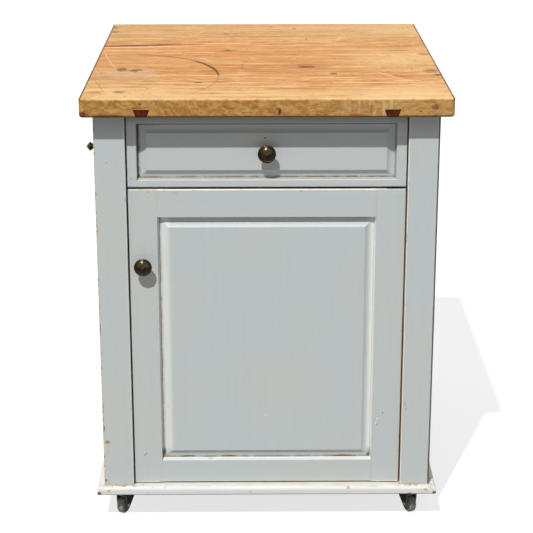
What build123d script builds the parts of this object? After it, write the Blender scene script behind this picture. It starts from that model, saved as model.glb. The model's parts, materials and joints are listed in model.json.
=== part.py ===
from build123d import *
from math import cos, radians, sin
import os

# Free-standing kitchen base cabinet on four swivel casters.
# A thick wooden worktop lies on four square posts. One drawer and one door fill
# the front between the posts, set back a little from the posts' faces.
# Millimetres, +Z up, front towards -Y, origin on the floor under the worktop's middle.

# Worktop
worktop_width = 640
worktop_depth = 700
worktop_thick = 33
total_height = 810
worktop_corner_round = 8
worktop_top_ease = 2
worktop_lower_round = 4
batten_centre = 214
batten_wide = 28
batten_narrow = 18.5
batten_height = 14
worktop_screw_radius = 2.2
worktop_screw_head = 4.2
worktop_screw_cone = 3
worktop_screw_length = 52
front_screw_pitch = 120
side_screw_y = (-120, 180)

# Carcass: posts, rails and panels
carcass_width = 600
carcass_depth = 640
post_size = 54
post_ease = 1.5
front_overhang = 30
rail_thick = 22
rail_height = 60
rail_inset = 6
rail_arris = 1
tenon_length = 22
tenon_shoulder = 8
side_panel_thick = 9
groove_depth = 8
back_panel_thick = 6
back_rail_inset = 3
front_rail_depth = 46
top_rail_thick = 31
divider_thick = 20
divider_top = 650

# Base board and casters
caster_height = 53.5
base_thick = 16.5
base_overhang_side = 13
base_overhang_front = 8
base_upper_round = 7
base_lower_round = 3
base_screw_radius = 2.5
base_screw_head = 5
base_screw_cone = 3.5
base_screw_length = 60

# Door and drawer faces
face_setback = 9
leaf_thick = 22
side_gap = 2
door_bottom = 72.3
door_top = 638.7
drawer_bottom_edge = 642.7
drawer_top_edge = 770
stop_gap = 1.5
arris = 1.5

# Sight edge of the frame and the raised panel in it
sticking_width = 3.2
sticking_depth = 9
field_depth = 2.5
frame_groove = 6
frame_groove_depth = 10
stile_width = 54
top_rail_width = 54.5
bottom_rail_width = 47.2
panel_cove = 16
panel_play = 2
cove_clearance = 0.5
cove_step = 0.5
door_tenon = 32
door_tenon_set_in = 12
drawer_border_side = 17
drawer_border_rail = 12.5
drawer_cove = 14.5

# Drawer box
box_half_width = 242
box_side_thick = 12
box_bottom = 650.3
box_top = 744.3
box_back_setback = 77
box_bottom_thick = 6
box_bottom_lift = 10
box_groove = 4
blind_dovetail = 14
tail_count = 3
tail_narrow = 17
tail_wide = 23

# Inner fittings
runner_inner = 214
runner_thick = 18
guide_inner = 243
guide_width = 20
guide_height = 18
kicker_inner = 220
kicker_bottom = 746
stub_tenon = 8
stub_shoulder = 5
fitting_gap = 0.5
stop_centre = 150
stop_length = 40
stop_depth = 15
stop_height = 7
stop_play = 0.3
shelf_top = 366
shelf_thick = 16
cleat_thick = 18
cleat_height = 24
cleat_bevel = 4
shelf_gap = 1
catch_x = (-212, -176)
catch_depth = 17
catch_height = 12
catch_pole = 12
catch_pole_inset = 11
strike_length = 32
strike_width = 12
strike_thick = 1.2

# Pivot hinge on the right
pivot_from_edge = 5
pivot_from_face = 5
pivot_pin = 2
pivot_bush = 3.2
pivot_plate = 2
pivot_plate_width = 7
pivot_leaf_length = 33
pivot_pin_length = 13
pivot_bush_length = 14
pivot_washer_radius = 3.6
pivot_washer_play = 0.3
pivot_tab_lift = 1.2
pivot_tab_reach = 6
pivot_leg_height = 40

# Knobs and the towel peg on the left side
knob_radius = 16
knob_length = 24.4
knob_foot_radius = 8.5
knob_neck_radius = 5.2
knob_hole_depth = 9
knob_screw_radius = 2
knob_screw_head = 2.4
knob_screw_head_radius = 4.4
drawer_knob_z = 706
door_knob_x = -219
door_knob_z = 500
peg_setback = 27
peg_z = 712.5
peg_length = 14.5
peg_stud_radius = 2.5
peg_stud_length = 14
peg_collar_radius = 5.6
peg_neck_radius = 4
peg_head_radius = 7.6

# Casters
caster_x = 263
caster_setback = 42
caster_turn = 25
caster_trail = 13
wheel_radius = 16
wheel_width = 13
wheel_hub_radius = 5.5
wheel_dish_depth = 1.5
wheel_dish_radius = 11.5
tread_round = 2
axle_radius = 3
rivet_head_radius = 4.4
rivet_head = 2.4
fork_inner = 18
fork_metal = 2
fork_top = 38
fork_front = -21
fork_rear = 15
fork_bend = 3.5
axle_boss = 6
caster_plate_size = 44
caster_plate_thick = 2
caster_plate_corner = 5
caster_hole_pitch = 32
caster_hole_radius = 2.2
caster_screw_radius = 2
caster_screw_head = 3.8
caster_screw_head_height = 2
caster_screw_depth = 13
race_cup_radius = 13.5
race_cup_wall = 2
race_cup_depth = 10
race_core_radius = 8
race_play = 0.5
race_top = 42.5
kingpin_radius = 3
kingpin_head_radius = 5.5
kingpin_head_z = (33, 35.7)
running_clearance = 0.05

# Levels and planes that follow from the sizes above
carcass_top = total_height - worktop_thick
base_top = caster_height + base_thick
worktop_front = -worktop_depth / 2
post_front = worktop_front + front_overhang
post_back = post_front + carcass_depth
half_carcass = carcass_width / 2
post_inner = half_carcass - post_size
front_post_rear = post_front + post_size
back_post_fore = post_back - post_size
face_y = post_front + face_setback
leaf_back = face_y + leaf_thick
rail_front = leaf_back + stop_gap
leaf_half_width = post_inner - side_gap
front_rail_back = rail_front + front_rail_depth
side_rail_outer = half_carcass - rail_inset
side_rail_inner = side_rail_outer - rail_thick
side_panel_outer = side_rail_outer - (rail_thick - side_panel_thick) / 2
side_panel_inner = side_panel_outer - side_panel_thick
back_rail_rear = post_back - back_rail_inset
back_rail_fore = back_rail_rear - rail_thick
back_panel_fore = (back_rail_rear + back_rail_fore - back_panel_thick) / 2
sight_half_width = leaf_half_width - stile_width
sight_bottom = door_bottom + bottom_rail_width
sight_top = door_top - top_rail_width
pivot_x = leaf_half_width - pivot_from_edge
pivot_y = face_y + pivot_from_face
box_back = post_back - box_back_setback
peg_y = post_front + peg_setback
caster_front_y = post_front + caster_setback
caster_back_y = post_back - caster_setback
fork_outer = fork_inner / 2 + fork_metal
axle_end = fork_outer + rivet_head


def block(x, y, z, mode=Mode.ADD):
    """Adds or cuts a square-edged board that spans the given ranges."""
    with Locations(((x[0] + x[1]) / 2, (y[0] + y[1]) / 2, (z[0] + z[1]) / 2)):
        Box(x[1] - x[0], y[1] - y[0], z[1] - z[0], mode=mode)


def cut_seats(*pieces):
    """Cuts the mortises, grooves and slots that the given pieces sit in."""
    for piece in pieces:
        add(piece.part, mode=Mode.SUBTRACT)


def both_sides(x):
    """The same place on the left and on the right."""
    return (-x, x)


def front_facing_plane(x, y, z):
    """An upright plane that looks out of the front."""
    return Plane(origin=(x, y, z), x_dir=(1, 0, 0), z_dir=(0, -1, 0))


def countersunk_screws(places, level, radius, head, cone, length, play=0.0):
    """Screws with their heads at one level and their shanks upwards; play makes their holes."""
    with BuildPart() as screws:
        with Locations(*[(x, y, level) for x, y in places]):
            lowest = (Align.CENTER, Align.CENTER, Align.MIN)
            Cylinder(radius + play, length, align=lowest)
            Cone(head + play, radius + play, cone, align=lowest)
    return screws


def finish_piece(builder, name):
    """Names a finished piece and writes it."""
    builder.part.label = name
    export_step(builder.part, f"parts/{name}.step")
    print(f"{name}: {len(builder.part.solids())} solid(s), {builder.part.volume / 1000:.1f} cm3")


os.makedirs("parts", exist_ok=True)

# Worktop blank: a glued-up board with rounded corners and eased edges
with BuildPart() as worktop_blank:
    with BuildSketch(Plane.XY.offset(carcass_top)):
        RectangleRounded(worktop_width, worktop_depth, worktop_corner_round)
    extrude(amount=worktop_thick)
    fillet(worktop_blank.edges().group_by(Axis.Z)[-1], worktop_top_ease)
    fillet(worktop_blank.edges().group_by(Axis.Z)[0], worktop_lower_round)

# Dovetail battens: two keys that slide in from the front and hold the board flat.
# Their ends show in the lower half of the front edge, wide side up.
with BuildPart() as dovetail_battens:
    with BuildSketch(Plane.XZ.offset(worktop_depth / 2)):
        for x in both_sides(batten_centre):
            with BuildLine():
                Polyline(
                    (x - batten_narrow / 2, carcass_top),
                    (x + batten_narrow / 2, carcass_top),
                    (x + batten_wide / 2, carcass_top + batten_height),
                    (x - batten_wide / 2, carcass_top + batten_height),
                    close=True,
                )
            make_face()
    extrude(amount=-worktop_depth)
    add(worktop_blank.part, mode=Mode.INTERSECT)

# Screws that draw the worktop down on the front rail and the kickers
front_screw_y = rail_front + 20
side_screw_x = kicker_inner + 13
worktop_screw_places = [(x, front_screw_y) for x in (-front_screw_pitch, 0, front_screw_pitch)]
worktop_screw_places += [(x, y) for x in both_sides(side_screw_x) for y in side_screw_y]
worktop_screw_sizes = (kicker_bottom, worktop_screw_radius, worktop_screw_head, worktop_screw_cone)
worktop_screws = countersunk_screws(worktop_screw_places, *worktop_screw_sizes, worktop_screw_length)
worktop_screw_holes = countersunk_screws(
    worktop_screw_places, *worktop_screw_sizes, worktop_screw_length + 1, running_clearance
)

with BuildPart() as worktop:
    add(worktop_blank.part)
    cut_seats(dovetail_battens, worktop_screw_holes)

# Caster plates, each with its ball race cup and riveted kingpin in one piece
caster_places = [
    (-caster_x, caster_front_y, -caster_turn),
    (caster_x, caster_front_y, caster_turn),
    (-caster_x, caster_back_y, -caster_turn),
    (caster_x, caster_back_y, caster_turn),
]
caster_centres = [(x, y) for x, y, turn in caster_places]
hole_pitch = caster_hole_pitch
plate_under = caster_height - caster_plate_thick
with BuildPart() as caster_plates:
    with BuildSketch(Plane.XY.offset(plate_under)):
        with Locations(*caster_centres):
            RectangleRounded(caster_plate_size, caster_plate_size, caster_plate_corner)
            with GridLocations(hole_pitch, hole_pitch, 2, 2):
                Circle(caster_hole_radius, mode=Mode.SUBTRACT)
    extrude(amount=caster_plate_thick)
    with BuildSketch(Plane.XY.offset(plate_under)):
        with Locations(*caster_centres):
            Circle(race_cup_radius)
            Circle(race_cup_radius - race_cup_wall, mode=Mode.SUBTRACT)
    extrude(amount=-race_cup_depth)
    with BuildSketch(Plane.XY.offset(plate_under)):
        with Locations(*caster_centres):
            Circle(race_core_radius)
    extrude(amount=-(plate_under - race_top - race_play))
    with BuildSketch(Plane.XY.offset(plate_under)):
        with Locations(*caster_centres):
            Circle(kingpin_radius)
    extrude(amount=-(plate_under - kingpin_head_z[0]))
    with BuildSketch(Plane.XY.offset(kingpin_head_z[0])):
        with Locations(*caster_centres):
            Circle(kingpin_head_radius)
    extrude(amount=kingpin_head_z[1] - kingpin_head_z[0])

# Pan-head screws that hold the plates to the base board
caster_screw_top = caster_height + caster_screw_depth
with BuildPart() as caster_screws:
    with BuildSketch(Plane.XY.offset(plate_under)):
        with Locations(*caster_centres):
            with GridLocations(hole_pitch, hole_pitch, 2, 2):
                Circle(caster_screw_head)
    extrude(amount=-caster_screw_head_height)
    with BuildSketch(Plane.XY.offset(plate_under)):
        with Locations(*caster_centres):
            with GridLocations(hole_pitch, hole_pitch, 2, 2):
                Circle(caster_screw_radius)
    extrude(amount=caster_screw_top - plate_under)

# Countersunk screws up through the base board into the feet of the posts, on the
# casters' centre lines so that they pass between the casters' own screws
post_centre_y = (post_front + post_size / 2, post_back - post_size / 2)
base_screw_places = [(x, y) for x in both_sides(caster_x) for y in post_centre_y]
base_screw_sizes = (caster_height, base_screw_radius, base_screw_head, base_screw_cone)
base_screws = countersunk_screws(base_screw_places, *base_screw_sizes, base_screw_length)
base_screw_holes = countersunk_screws(
    base_screw_places, *base_screw_sizes, base_screw_length + 1, running_clearance
)

# Lower pivot: a brass plate let into the base board, with a pin and a washer
# that the door's foot rides on
with BuildPart() as bottom_pivot_plate:
    with BuildSketch(Plane.XY.offset(base_top - pivot_plate)):
        with Locations((pivot_x - pivot_leaf_length / 2 + pivot_plate_width / 2, pivot_y)):
            SlotOverall(pivot_leaf_length, pivot_plate_width)
    extrude(amount=pivot_plate)
    with BuildSketch(Plane.XY.offset(base_top)):
        with Locations((pivot_x, pivot_y)):
            Circle(pivot_washer_radius)
    extrude(amount=door_bottom - base_top - pivot_washer_play)
    with BuildSketch(Plane.XY.offset(base_top)):
        with Locations((pivot_x, pivot_y)):
            Circle(pivot_pin)
    extrude(amount=pivot_pin_length)

# Base board: the posts stand on it, and it is also the cupboard's floor. Its edge is
# rounded over above and eased below, and the rounds meet in a mitre at its corners.
base_half_width = half_carcass + base_overhang_side
base_y = (post_front - base_overhang_front, post_back + base_overhang_front)
with BuildPart() as base_board:
    block((-base_half_width, base_half_width), base_y, (caster_height, base_top))
    fillet(base_board.edges().group_by(Axis.Z)[-1], base_upper_round)
    fillet(base_board.edges().group_by(Axis.Z)[0], base_lower_round)
    cut_seats(bottom_pivot_plate, base_screw_holes)
    with BuildSketch(Plane.XY.offset(caster_height)):
        with Locations(*caster_centres):
            with GridLocations(hole_pitch, hole_pitch, 2, 2):
                Circle(caster_screw_radius + running_clearance)
    extrude(amount=caster_screw_top - caster_height + 1, mode=Mode.SUBTRACT)

# Side panels, each a flat board held in grooves in the posts and the rails
panel_low = base_top + rail_height - groove_depth
panel_high = carcass_top - rail_height + groove_depth
with BuildPart() as left_side_panel:
    block(
        (-side_panel_outer, -side_panel_inner),
        (front_post_rear - groove_depth, back_post_fore + groove_depth),
        (panel_low, panel_high),
    )
with BuildPart() as right_side_panel:
    mirror(left_side_panel.part, about=Plane.YZ)

# Back panel of thin board in grooves
with BuildPart() as back_panel:
    block(
        (-post_inner - groove_depth, post_inner + groove_depth),
        (back_panel_fore, back_panel_fore + back_panel_thick),
        (panel_low, panel_high),
    )


def side_rail(bottom):
    """A left-hand rail between front and back post, with a tenon at each end."""
    with BuildPart() as rail:
        block(
            (-side_rail_outer, -side_rail_inner),
            (front_post_rear, back_post_fore),
            (bottom, bottom + rail_height),
        )
        chamfer(rail.edges().filter_by(Axis.Y).group_by(Axis.X)[0], rail_arris)
        block(
            (-side_panel_outer, -side_panel_inner),
            (front_post_rear - tenon_length, back_post_fore + tenon_length),
            (bottom + tenon_shoulder, bottom + rail_height - tenon_shoulder),
        )
        cut_seats(left_side_panel)
    return rail


# Side rails, top and bottom
left_bottom_rail = side_rail(base_top)
left_top_rail = side_rail(carcass_top - rail_height)
with BuildPart() as right_bottom_rail:
    mirror(left_bottom_rail.part, about=Plane.YZ)
with BuildPart() as right_top_rail:
    mirror(left_top_rail.part, about=Plane.YZ)


def back_rail(bottom):
    """A rail between the back posts, grooved for the back panel."""
    with BuildPart() as rail:
        block(
            (-post_inner, post_inner),
            (back_rail_fore, back_rail_rear),
            (bottom, bottom + rail_height),
        )
        chamfer(rail.edges().filter_by(Axis.X).group_by(Axis.Y)[-1], rail_arris)
        block(
            (-post_inner - tenon_length, post_inner + tenon_length),
            (back_panel_fore, back_panel_fore + back_panel_thick),
            (bottom + tenon_shoulder, bottom + rail_height - tenon_shoulder),
        )
        cut_seats(back_panel)
    return rail


# Back rails, top and bottom
back_bottom_rail = back_rail(base_top)
back_top_rail = back_rail(carcass_top - rail_height)

# Drawer runners: the sides of the drawer slide on them. Each fits round the back
# post and has a stub tenon in the rail between drawer and door.
fitting_back = back_rail_fore - fitting_gap
runner_reach = side_panel_inner - fitting_gap
runner_z = (divider_top - runner_thick, divider_top)
with BuildPart() as drawer_runners:
    with BuildSketch(Plane.XY.offset(runner_z[0])):
        with BuildLine():
            Polyline(
                (runner_inner, front_rail_back),
                (runner_reach, front_rail_back),
                (runner_reach, back_post_fore),
                (post_inner, back_post_fore),
                (post_inner, fitting_back),
                (runner_inner, fitting_back),
                close=True,
            )
        make_face()
    extrude(amount=runner_thick)
    block(
        (runner_inner + stub_shoulder, post_inner - stub_shoulder),
        (front_rail_back - stub_tenon, front_rail_back),
        (runner_z[0] + stub_shoulder, runner_z[1] - stub_shoulder),
    )
    mirror(about=Plane.YZ)

# Guides keep the drawer from shifting sideways
with BuildPart() as drawer_guides:
    block(
        (guide_inner, guide_inner + guide_width),
        (front_rail_back, back_post_fore),
        (divider_top, divider_top + guide_height),
    )
    chamfer(drawer_guides.edges().filter_by(Axis.Y).group_by(Axis.Z)[-1], 2)
    mirror(about=Plane.YZ)

# Kickers stop the open drawer from tipping down
with BuildPart() as drawer_kickers:
    block((kicker_inner, post_inner), (front_rail_back, fitting_back), (kicker_bottom, carcass_top))
    block(
        (kicker_inner + stub_shoulder, post_inner - stub_shoulder),
        (front_rail_back - stub_tenon, front_rail_back),
        (kicker_bottom + tenon_shoulder, carcass_top - tenon_shoulder),
    )
    mirror(about=Plane.YZ)
    cut_seats(worktop_screw_holes)

# Front rails between the front posts: one under the worktop, one between drawer and door
front_tenon_y = (rail_front + stub_shoulder, front_post_rear - stub_shoulder)
with BuildPart() as front_top_rail:
    block(
        (-post_inner, post_inner),
        (rail_front, front_rail_back),
        (carcass_top - top_rail_thick, carcass_top),
    )
    block(
        (-post_inner - tenon_length, post_inner + tenon_length),
        front_tenon_y,
        (carcass_top - top_rail_thick + tenon_shoulder, carcass_top - tenon_shoulder),
    )
    cut_seats(drawer_kickers, worktop_screw_holes)
with BuildPart() as drawer_divider_rail:
    block(
        (-post_inner, post_inner),
        (rail_front, front_rail_back),
        (divider_top - divider_thick, divider_top),
    )
    chamfer(drawer_divider_rail.edges().filter_by(Axis.X).group_by(Axis.Y)[0], rail_arris)
    block(
        (-post_inner - tenon_length, post_inner + tenon_length),
        front_tenon_y,
        (divider_top - divider_thick + stub_shoulder, divider_top - stub_shoulder),
    )
    cut_seats(drawer_runners)

# Drawer stops: two small blocks on the divider rail that the closed drawer front meets
with BuildPart() as drawer_stops:
    block(
        (stop_centre - stop_length / 2, stop_centre + stop_length / 2),
        (leaf_back + stop_play, leaf_back + stop_depth),
        (divider_top, divider_top + stop_height),
    )
    chamfer(drawer_stops.edges().filter_by(Axis.X).group_by(Axis.Z)[-1], arris)
    mirror(about=Plane.YZ)

# Towel peg: a small turned brass knob with a collar and an acorn head, on the left side.
# Its half profile gives the distance out from the post, then the radius.
peg_axis = Axis((-half_carcass, peg_y, peg_z), (-1, 0, 0))
with BuildPart() as side_peg:
    with BuildSketch(Plane(origin=(-half_carcass, peg_y, peg_z), x_dir=(-1, 0, 0), z_dir=(0, -1, 0))):
        with BuildLine():
            Polyline(
                (-peg_stud_length, 0),
                (-peg_stud_length, peg_stud_radius),
                (0, peg_stud_radius),
                (0, peg_collar_radius),
                (1.6, peg_collar_radius),
                (2.4, peg_neck_radius),
                (3.4, peg_neck_radius),
            )
            ThreePointArc((3.4, peg_neck_radius), (4.5, peg_collar_radius), (5.6, 4.4))
            ThreePointArc((5.6, 4.4), (7.4, peg_head_radius), (10.2, 6.1))
            ThreePointArc((10.2, 6.1), (12.4, 3.7), (13.9, 1.3))
            TangentArc((peg_length, 0), (13.9, 1.3), tangent=(0, 1))
            Line((peg_length, 0), (-peg_stud_length, 0))
        make_face()
    revolve(axis=peg_axis)

# Upper pivot: an angled brass plate let into the right post, whose tab lies in the
# gap over the door and carries a pin that points down
tab_z = (door_top + pivot_tab_lift, door_top + pivot_tab_lift + pivot_plate)
with BuildPart() as top_pivot_plate:
    block(
        (pivot_x - pivot_tab_reach, post_inner + pivot_plate),
        (pivot_y - pivot_plate_width / 2, pivot_y + pivot_plate_width / 2),
        tab_z,
    )
    block(
        (post_inner, post_inner + pivot_plate),
        (pivot_y - pivot_plate_width / 2, pivot_y + pivot_plate_width / 2),
        (tab_z[0], tab_z[0] + pivot_leg_height),
    )
    fillet(top_pivot_plate.edges().filter_by(Axis.Z).group_by(Axis.X)[0], 2.5)
    with BuildSketch(Plane.XY.offset(tab_z[0])):
        with Locations((pivot_x, pivot_y)):
            Circle(pivot_pin)
    extrude(amount=-pivot_pin_length)


def post(side, front):
    """A square corner post with its long edges eased."""
    x = (-half_carcass, -post_inner) if side == "left" else (post_inner, half_carcass)
    y = (post_front, front_post_rear) if front else (back_post_fore, post_back)
    with BuildPart() as blank:
        block(x, y, (base_top, carcass_top))
        fillet(blank.edges().filter_by(Axis.Z), post_ease)
    return blank


# Corner posts, with the mortises and grooves for all that they hold
with BuildPart() as front_left_post:
    add(post("left", True).part)
    cut_seats(left_bottom_rail, left_top_rail, left_side_panel)
    cut_seats(front_top_rail, drawer_divider_rail, base_screw_holes)
    with BuildSketch(Plane.YZ.offset(-half_carcass)):
        with Locations((peg_y, peg_z)):
            Circle(peg_stud_radius + running_clearance)
    extrude(amount=peg_stud_length + 1, mode=Mode.SUBTRACT)
with BuildPart() as front_right_post:
    add(post("right", True).part)
    cut_seats(right_bottom_rail, right_top_rail, right_side_panel)
    cut_seats(front_top_rail, drawer_divider_rail, base_screw_holes, top_pivot_plate)
with BuildPart() as back_left_post:
    add(post("left", False).part)
    cut_seats(left_bottom_rail, left_top_rail, left_side_panel)
    cut_seats(back_bottom_rail, back_top_rail, back_panel, base_screw_holes)
with BuildPart() as back_right_post:
    add(post("right", False).part)
    cut_seats(right_bottom_rail, right_top_rail, right_side_panel)
    cut_seats(back_bottom_rail, back_top_rail, back_panel, base_screw_holes)

# Shelf on two cleats: it reaches between the side panels and is notched round the back posts
shelf_front = front_post_rear + shelf_gap
shelf_half_width = side_panel_inner - shelf_gap
notch_y = back_post_fore - shelf_gap
notch_x = post_inner - shelf_gap
shelf_back = back_panel_fore - shelf_gap
with BuildPart() as shelf:
    with BuildSketch(Plane.XY.offset(shelf_top - shelf_thick)):
        with BuildLine():
            Polyline(
                (-shelf_half_width, shelf_front),
                (shelf_half_width, shelf_front),
                (shelf_half_width, notch_y),
                (notch_x, notch_y),
                (notch_x, shelf_back),
                (-notch_x, shelf_back),
                (-notch_x, notch_y),
                (-shelf_half_width, notch_y),
                close=True,
            )
        make_face()
    extrude(amount=shelf_thick)
    fillet(shelf.edges().filter_by(Axis.X).group_by(Axis.Y)[0], 2)
cleat_z = (shelf_top - shelf_thick - cleat_height, shelf_top - shelf_thick)
with BuildPart() as shelf_cleats:
    block((post_inner - cleat_thick, post_inner), (front_post_rear - cleat_thick, fitting_back), cleat_z)
    chamfer(shelf_cleats.edges().filter_by(Axis.Y).group_by(Axis.Z)[0].sort_by(Axis.X)[0], cleat_bevel)
    mirror(about=Plane.YZ)

# Magnetic catch under the divider rail, for the door's free edge, with two pole faces
catch_z = (divider_top - divider_thick - catch_height, divider_top - divider_thick)
with BuildPart() as door_catch:
    block(catch_x, (rail_front + 1, rail_front + 1 + catch_depth), catch_z)
    fillet(door_catch.edges().filter_by(Axis.Z), 2)
    for pole in (catch_x[0] + catch_pole_inset, catch_x[1] - catch_pole_inset):
        block(
            (pole - catch_pole / 2, pole + catch_pole / 2),
            (rail_front - 0.1, rail_front + 1),
            (catch_z[0] + 2, catch_z[1] - 2),
        )


def frame_section(width):
    """Cross-section of a door frame member, outer edge at 0, sight edge at width.

    The first coordinate runs across the member and the second back from its face.
    The sight edge slopes back to the groove that holds the panel.
    """
    groove_back = sticking_depth + frame_groove
    with BuildSketch() as section:
        with BuildLine():
            Polyline(
                (0, arris),
                (arris, 0),
                (width - sticking_width, 0),
                (width, sticking_depth),
                (width - frame_groove_depth, sticking_depth),
                (width - frame_groove_depth, groove_back),
                (width, groove_back),
                (width, leaf_thick),
                (0, leaf_thick),
                close=True,
            )
        make_face()
    return section.sketch


def field_section(half_size, cove):
    """Cross-section of a raised field: flat in the middle, hollowed down to its two edges.

    The first coordinate runs across the field and the second back from the front's face.
    Each hollow is an arc that is steep beside the flat and level at its foot.
    """
    foot = half_size - cove_clearance
    flat = half_size - cove
    foot_depth = sticking_depth - cove_step
    with BuildSketch() as section:
        with BuildLine():
            Line((-flat, field_depth), (flat, field_depth))
            TangentArc((foot, foot_depth), (flat, field_depth), tangent=(-1, 0))
            Polyline(
                (foot, foot_depth),
                (foot, sticking_depth + 1),
                (-foot, sticking_depth + 1),
                (-foot, foot_depth),
            )
            TangentArc((-foot, foot_depth), (-flat, field_depth), tangent=(1, 0))
        make_face()
    return section.sketch


def raised_field(half_width, half_height, centre_z, cove):
    """A raised field: the upright and the level section crossed, so the hollows meet in mitres."""
    upright = Plane(origin=(0, face_y, centre_z - half_height), x_dir=(1, 0, 0), z_dir=(0, 0, 1))
    level = Plane(origin=(half_width, face_y, centre_z), x_dir=(0, 0, 1), z_dir=(-1, 0, 0))
    with BuildPart() as field:
        with BuildSketch(upright):
            add(field_section(half_width, cove))
        extrude(amount=2 * half_height)
        with BuildSketch(level):
            add(field_section(half_height, cove))
        extrude(amount=2 * half_width, mode=Mode.INTERSECT)
    return field


# Raised door panel: its thin edge floats in the frame's groove, and a hollow runs round its field
tongue_y = (face_y + sticking_depth, face_y + sticking_depth + frame_groove)
tongue_reach = frame_groove_depth - panel_play
field_y = face_y + field_depth
sight_height = sight_top - sight_bottom
sight_centre_z = (sight_top + sight_bottom) / 2
with BuildPart() as door_panel:
    block(
        (-sight_half_width - tongue_reach, sight_half_width + tongue_reach),
        tongue_y,
        (sight_bottom - tongue_reach, sight_top + tongue_reach),
    )
    add(raised_field(sight_half_width, sight_height / 2, sight_centre_z, panel_cove).part)

# Door leaves of the two pivots: plates let into the top and bottom edges of the
# door, each with a bush for the pin
with BuildPart() as pivot_leaves:
    leaf_centre_x = pivot_x - pivot_leaf_length / 2 + pivot_plate_width / 2
    for level, inward in ((door_top, -1), (door_bottom, 1)):
        with BuildSketch(Plane.XY.offset(level)):
            with Locations((leaf_centre_x, pivot_y)):
                SlotOverall(pivot_leaf_length, pivot_plate_width)
        extrude(amount=inward * pivot_plate)
        with BuildSketch(Plane.XY.offset(level)):
            with Locations((pivot_x, pivot_y)):
                Circle(pivot_bush)
        extrude(amount=inward * pivot_bush_length)
        with BuildSketch(Plane.XY.offset(level)):
            with Locations((pivot_x, pivot_y)):
                Circle(pivot_pin + running_clearance)
        extrude(amount=inward * pivot_bush_length, mode=Mode.SUBTRACT)
with BuildPart() as pivot_sockets:
    for level, inward in ((door_top, -1), (door_bottom, 1)):
        with BuildSketch(Plane.XY.offset(level)):
            with Locations((pivot_x, pivot_y)):
                Circle(pivot_bush)
        extrude(amount=inward * pivot_bush_length)

# Tenons of the door rails run on from the panel groove, set in from the door's edge
def door_tenons(low, high, sight_up):
    """A bar through a door rail whose two ends are its tenons."""
    tenon_low = low + (door_tenon_set_in if sight_up else frame_groove_depth)
    tenon_high = high - (frame_groove_depth if sight_up else door_tenon_set_in)
    reach = sight_half_width + door_tenon
    with BuildPart() as bar:
        block((-reach, reach), tongue_y, (tenon_low, tenon_high))
    return bar


def door_rail(low, high, sight_up):
    """A horizontal frame member with a tenon at each end, before its ends are coped."""
    width = high - low
    z_up = 1 if sight_up else -1
    outer = low if sight_up else high
    reach = sight_half_width + sticking_width
    with BuildPart() as rail:
        rail_end = Plane(origin=(z_up * reach, face_y, outer), x_dir=(0, 0, z_up), z_dir=(-z_up, 0, 0))
        with BuildSketch(rail_end):
            add(frame_section(width))
        extrude(amount=2 * reach)
        add(door_tenons(low, high, sight_up).part)
    return rail


top_blank = door_rail(sight_top, door_top, False)
bottom_blank = door_rail(door_bottom, sight_bottom, True)


def door_stile(side):
    """A full-height upright frame member without its mortises; side is -1 left, 1 right."""
    with BuildPart() as stile:
        stile_plane = Plane(
            origin=(side * leaf_half_width, face_y, door_bottom if side < 0 else door_top),
            x_dir=(-side, 0, 0),
            z_dir=(0, 0, -side),
        )
        with BuildSketch(stile_plane):
            add(frame_section(stile_width))
        extrude(amount=door_top - door_bottom)
    return stile


# Stiles, with the rails' mortises and the knob's and the pivots' holes
top_tenons = door_tenons(sight_top, door_top, False)
bottom_tenons = door_tenons(door_bottom, sight_bottom, True)
with BuildPart() as door_left_stile:
    add(door_stile(-1).part)
    cut_seats(top_tenons, bottom_tenons)
    with BuildSketch(front_facing_plane(door_knob_x, leaf_back, door_knob_z)):
        Circle(knob_screw_radius + running_clearance)
    extrude(amount=leaf_thick, mode=Mode.SUBTRACT)
with BuildPart() as door_right_stile:
    add(door_stile(1).part)
    cut_seats(top_tenons, bottom_tenons, pivot_leaves, pivot_sockets)

# The rails' ends are coped over the slope of the stiles' sight edges
with BuildPart() as door_top_rail:
    add(top_blank.part)
    cut_seats(door_left_stile, door_right_stile)
with BuildPart() as door_bottom_rail:
    add(bottom_blank.part)
    cut_seats(door_left_stile, door_right_stile)

# Strike plate on the door's back, opposite the catch
with BuildPart() as catch_strike:
    with BuildSketch(Plane.XZ.offset(-leaf_back)):
        with Locations(((catch_x[0] + catch_x[1]) / 2, (catch_z[0] + catch_z[1]) / 2)):
            SlotOverall(strike_length, strike_width)
    extrude(amount=-strike_thick)


def knob_section():
    """Half profile of a turned brass knob: distance from the face, then radius.

    A foot, a waisted neck, a flared back, a rolled rim and a domed front with a small
    point in its middle.
    """
    hole = knob_screw_radius + running_clearance
    with BuildSketch() as section:
        with BuildLine():
            Polyline(
                (knob_hole_depth, 0),
                (knob_hole_depth, hole),
                (0, hole),
                (0, knob_foot_radius),
                (1.6, knob_foot_radius),
                (2.6, 7),
            )
            ThreePointArc((2.6, 7), (7, knob_neck_radius), (11.4, 8.4))
            ThreePointArc((11.4, 8.4), (14.2, 12), (15.4, 15))
            ThreePointArc((15.4, 15), (17.1, knob_radius), (18.9, 14.6))
            ThreePointArc((18.9, 14.6), (18.7, 13.2), (18.2, 12.6))
            ThreePointArc((18.2, 12.6), (21.8, 7.6), (23.2, 2.2))
            TangentArc((knob_length, 0), (23.2, 2.2), tangent=(0, 1))
            Line((knob_length, 0), (knob_hole_depth, 0))
        make_face()
    return section.sketch


def knob(x, z, foot_y):
    """A knob whose foot stands on the front at the given place."""
    with BuildPart() as turned:
        with BuildSketch(Plane(origin=(x, foot_y, z), x_dir=(0, -1, 0), z_dir=(-1, 0, 0))):
            add(knob_section())
        revolve(axis=Axis((x, foot_y, z), (0, -1, 0)))
    return turned


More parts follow.
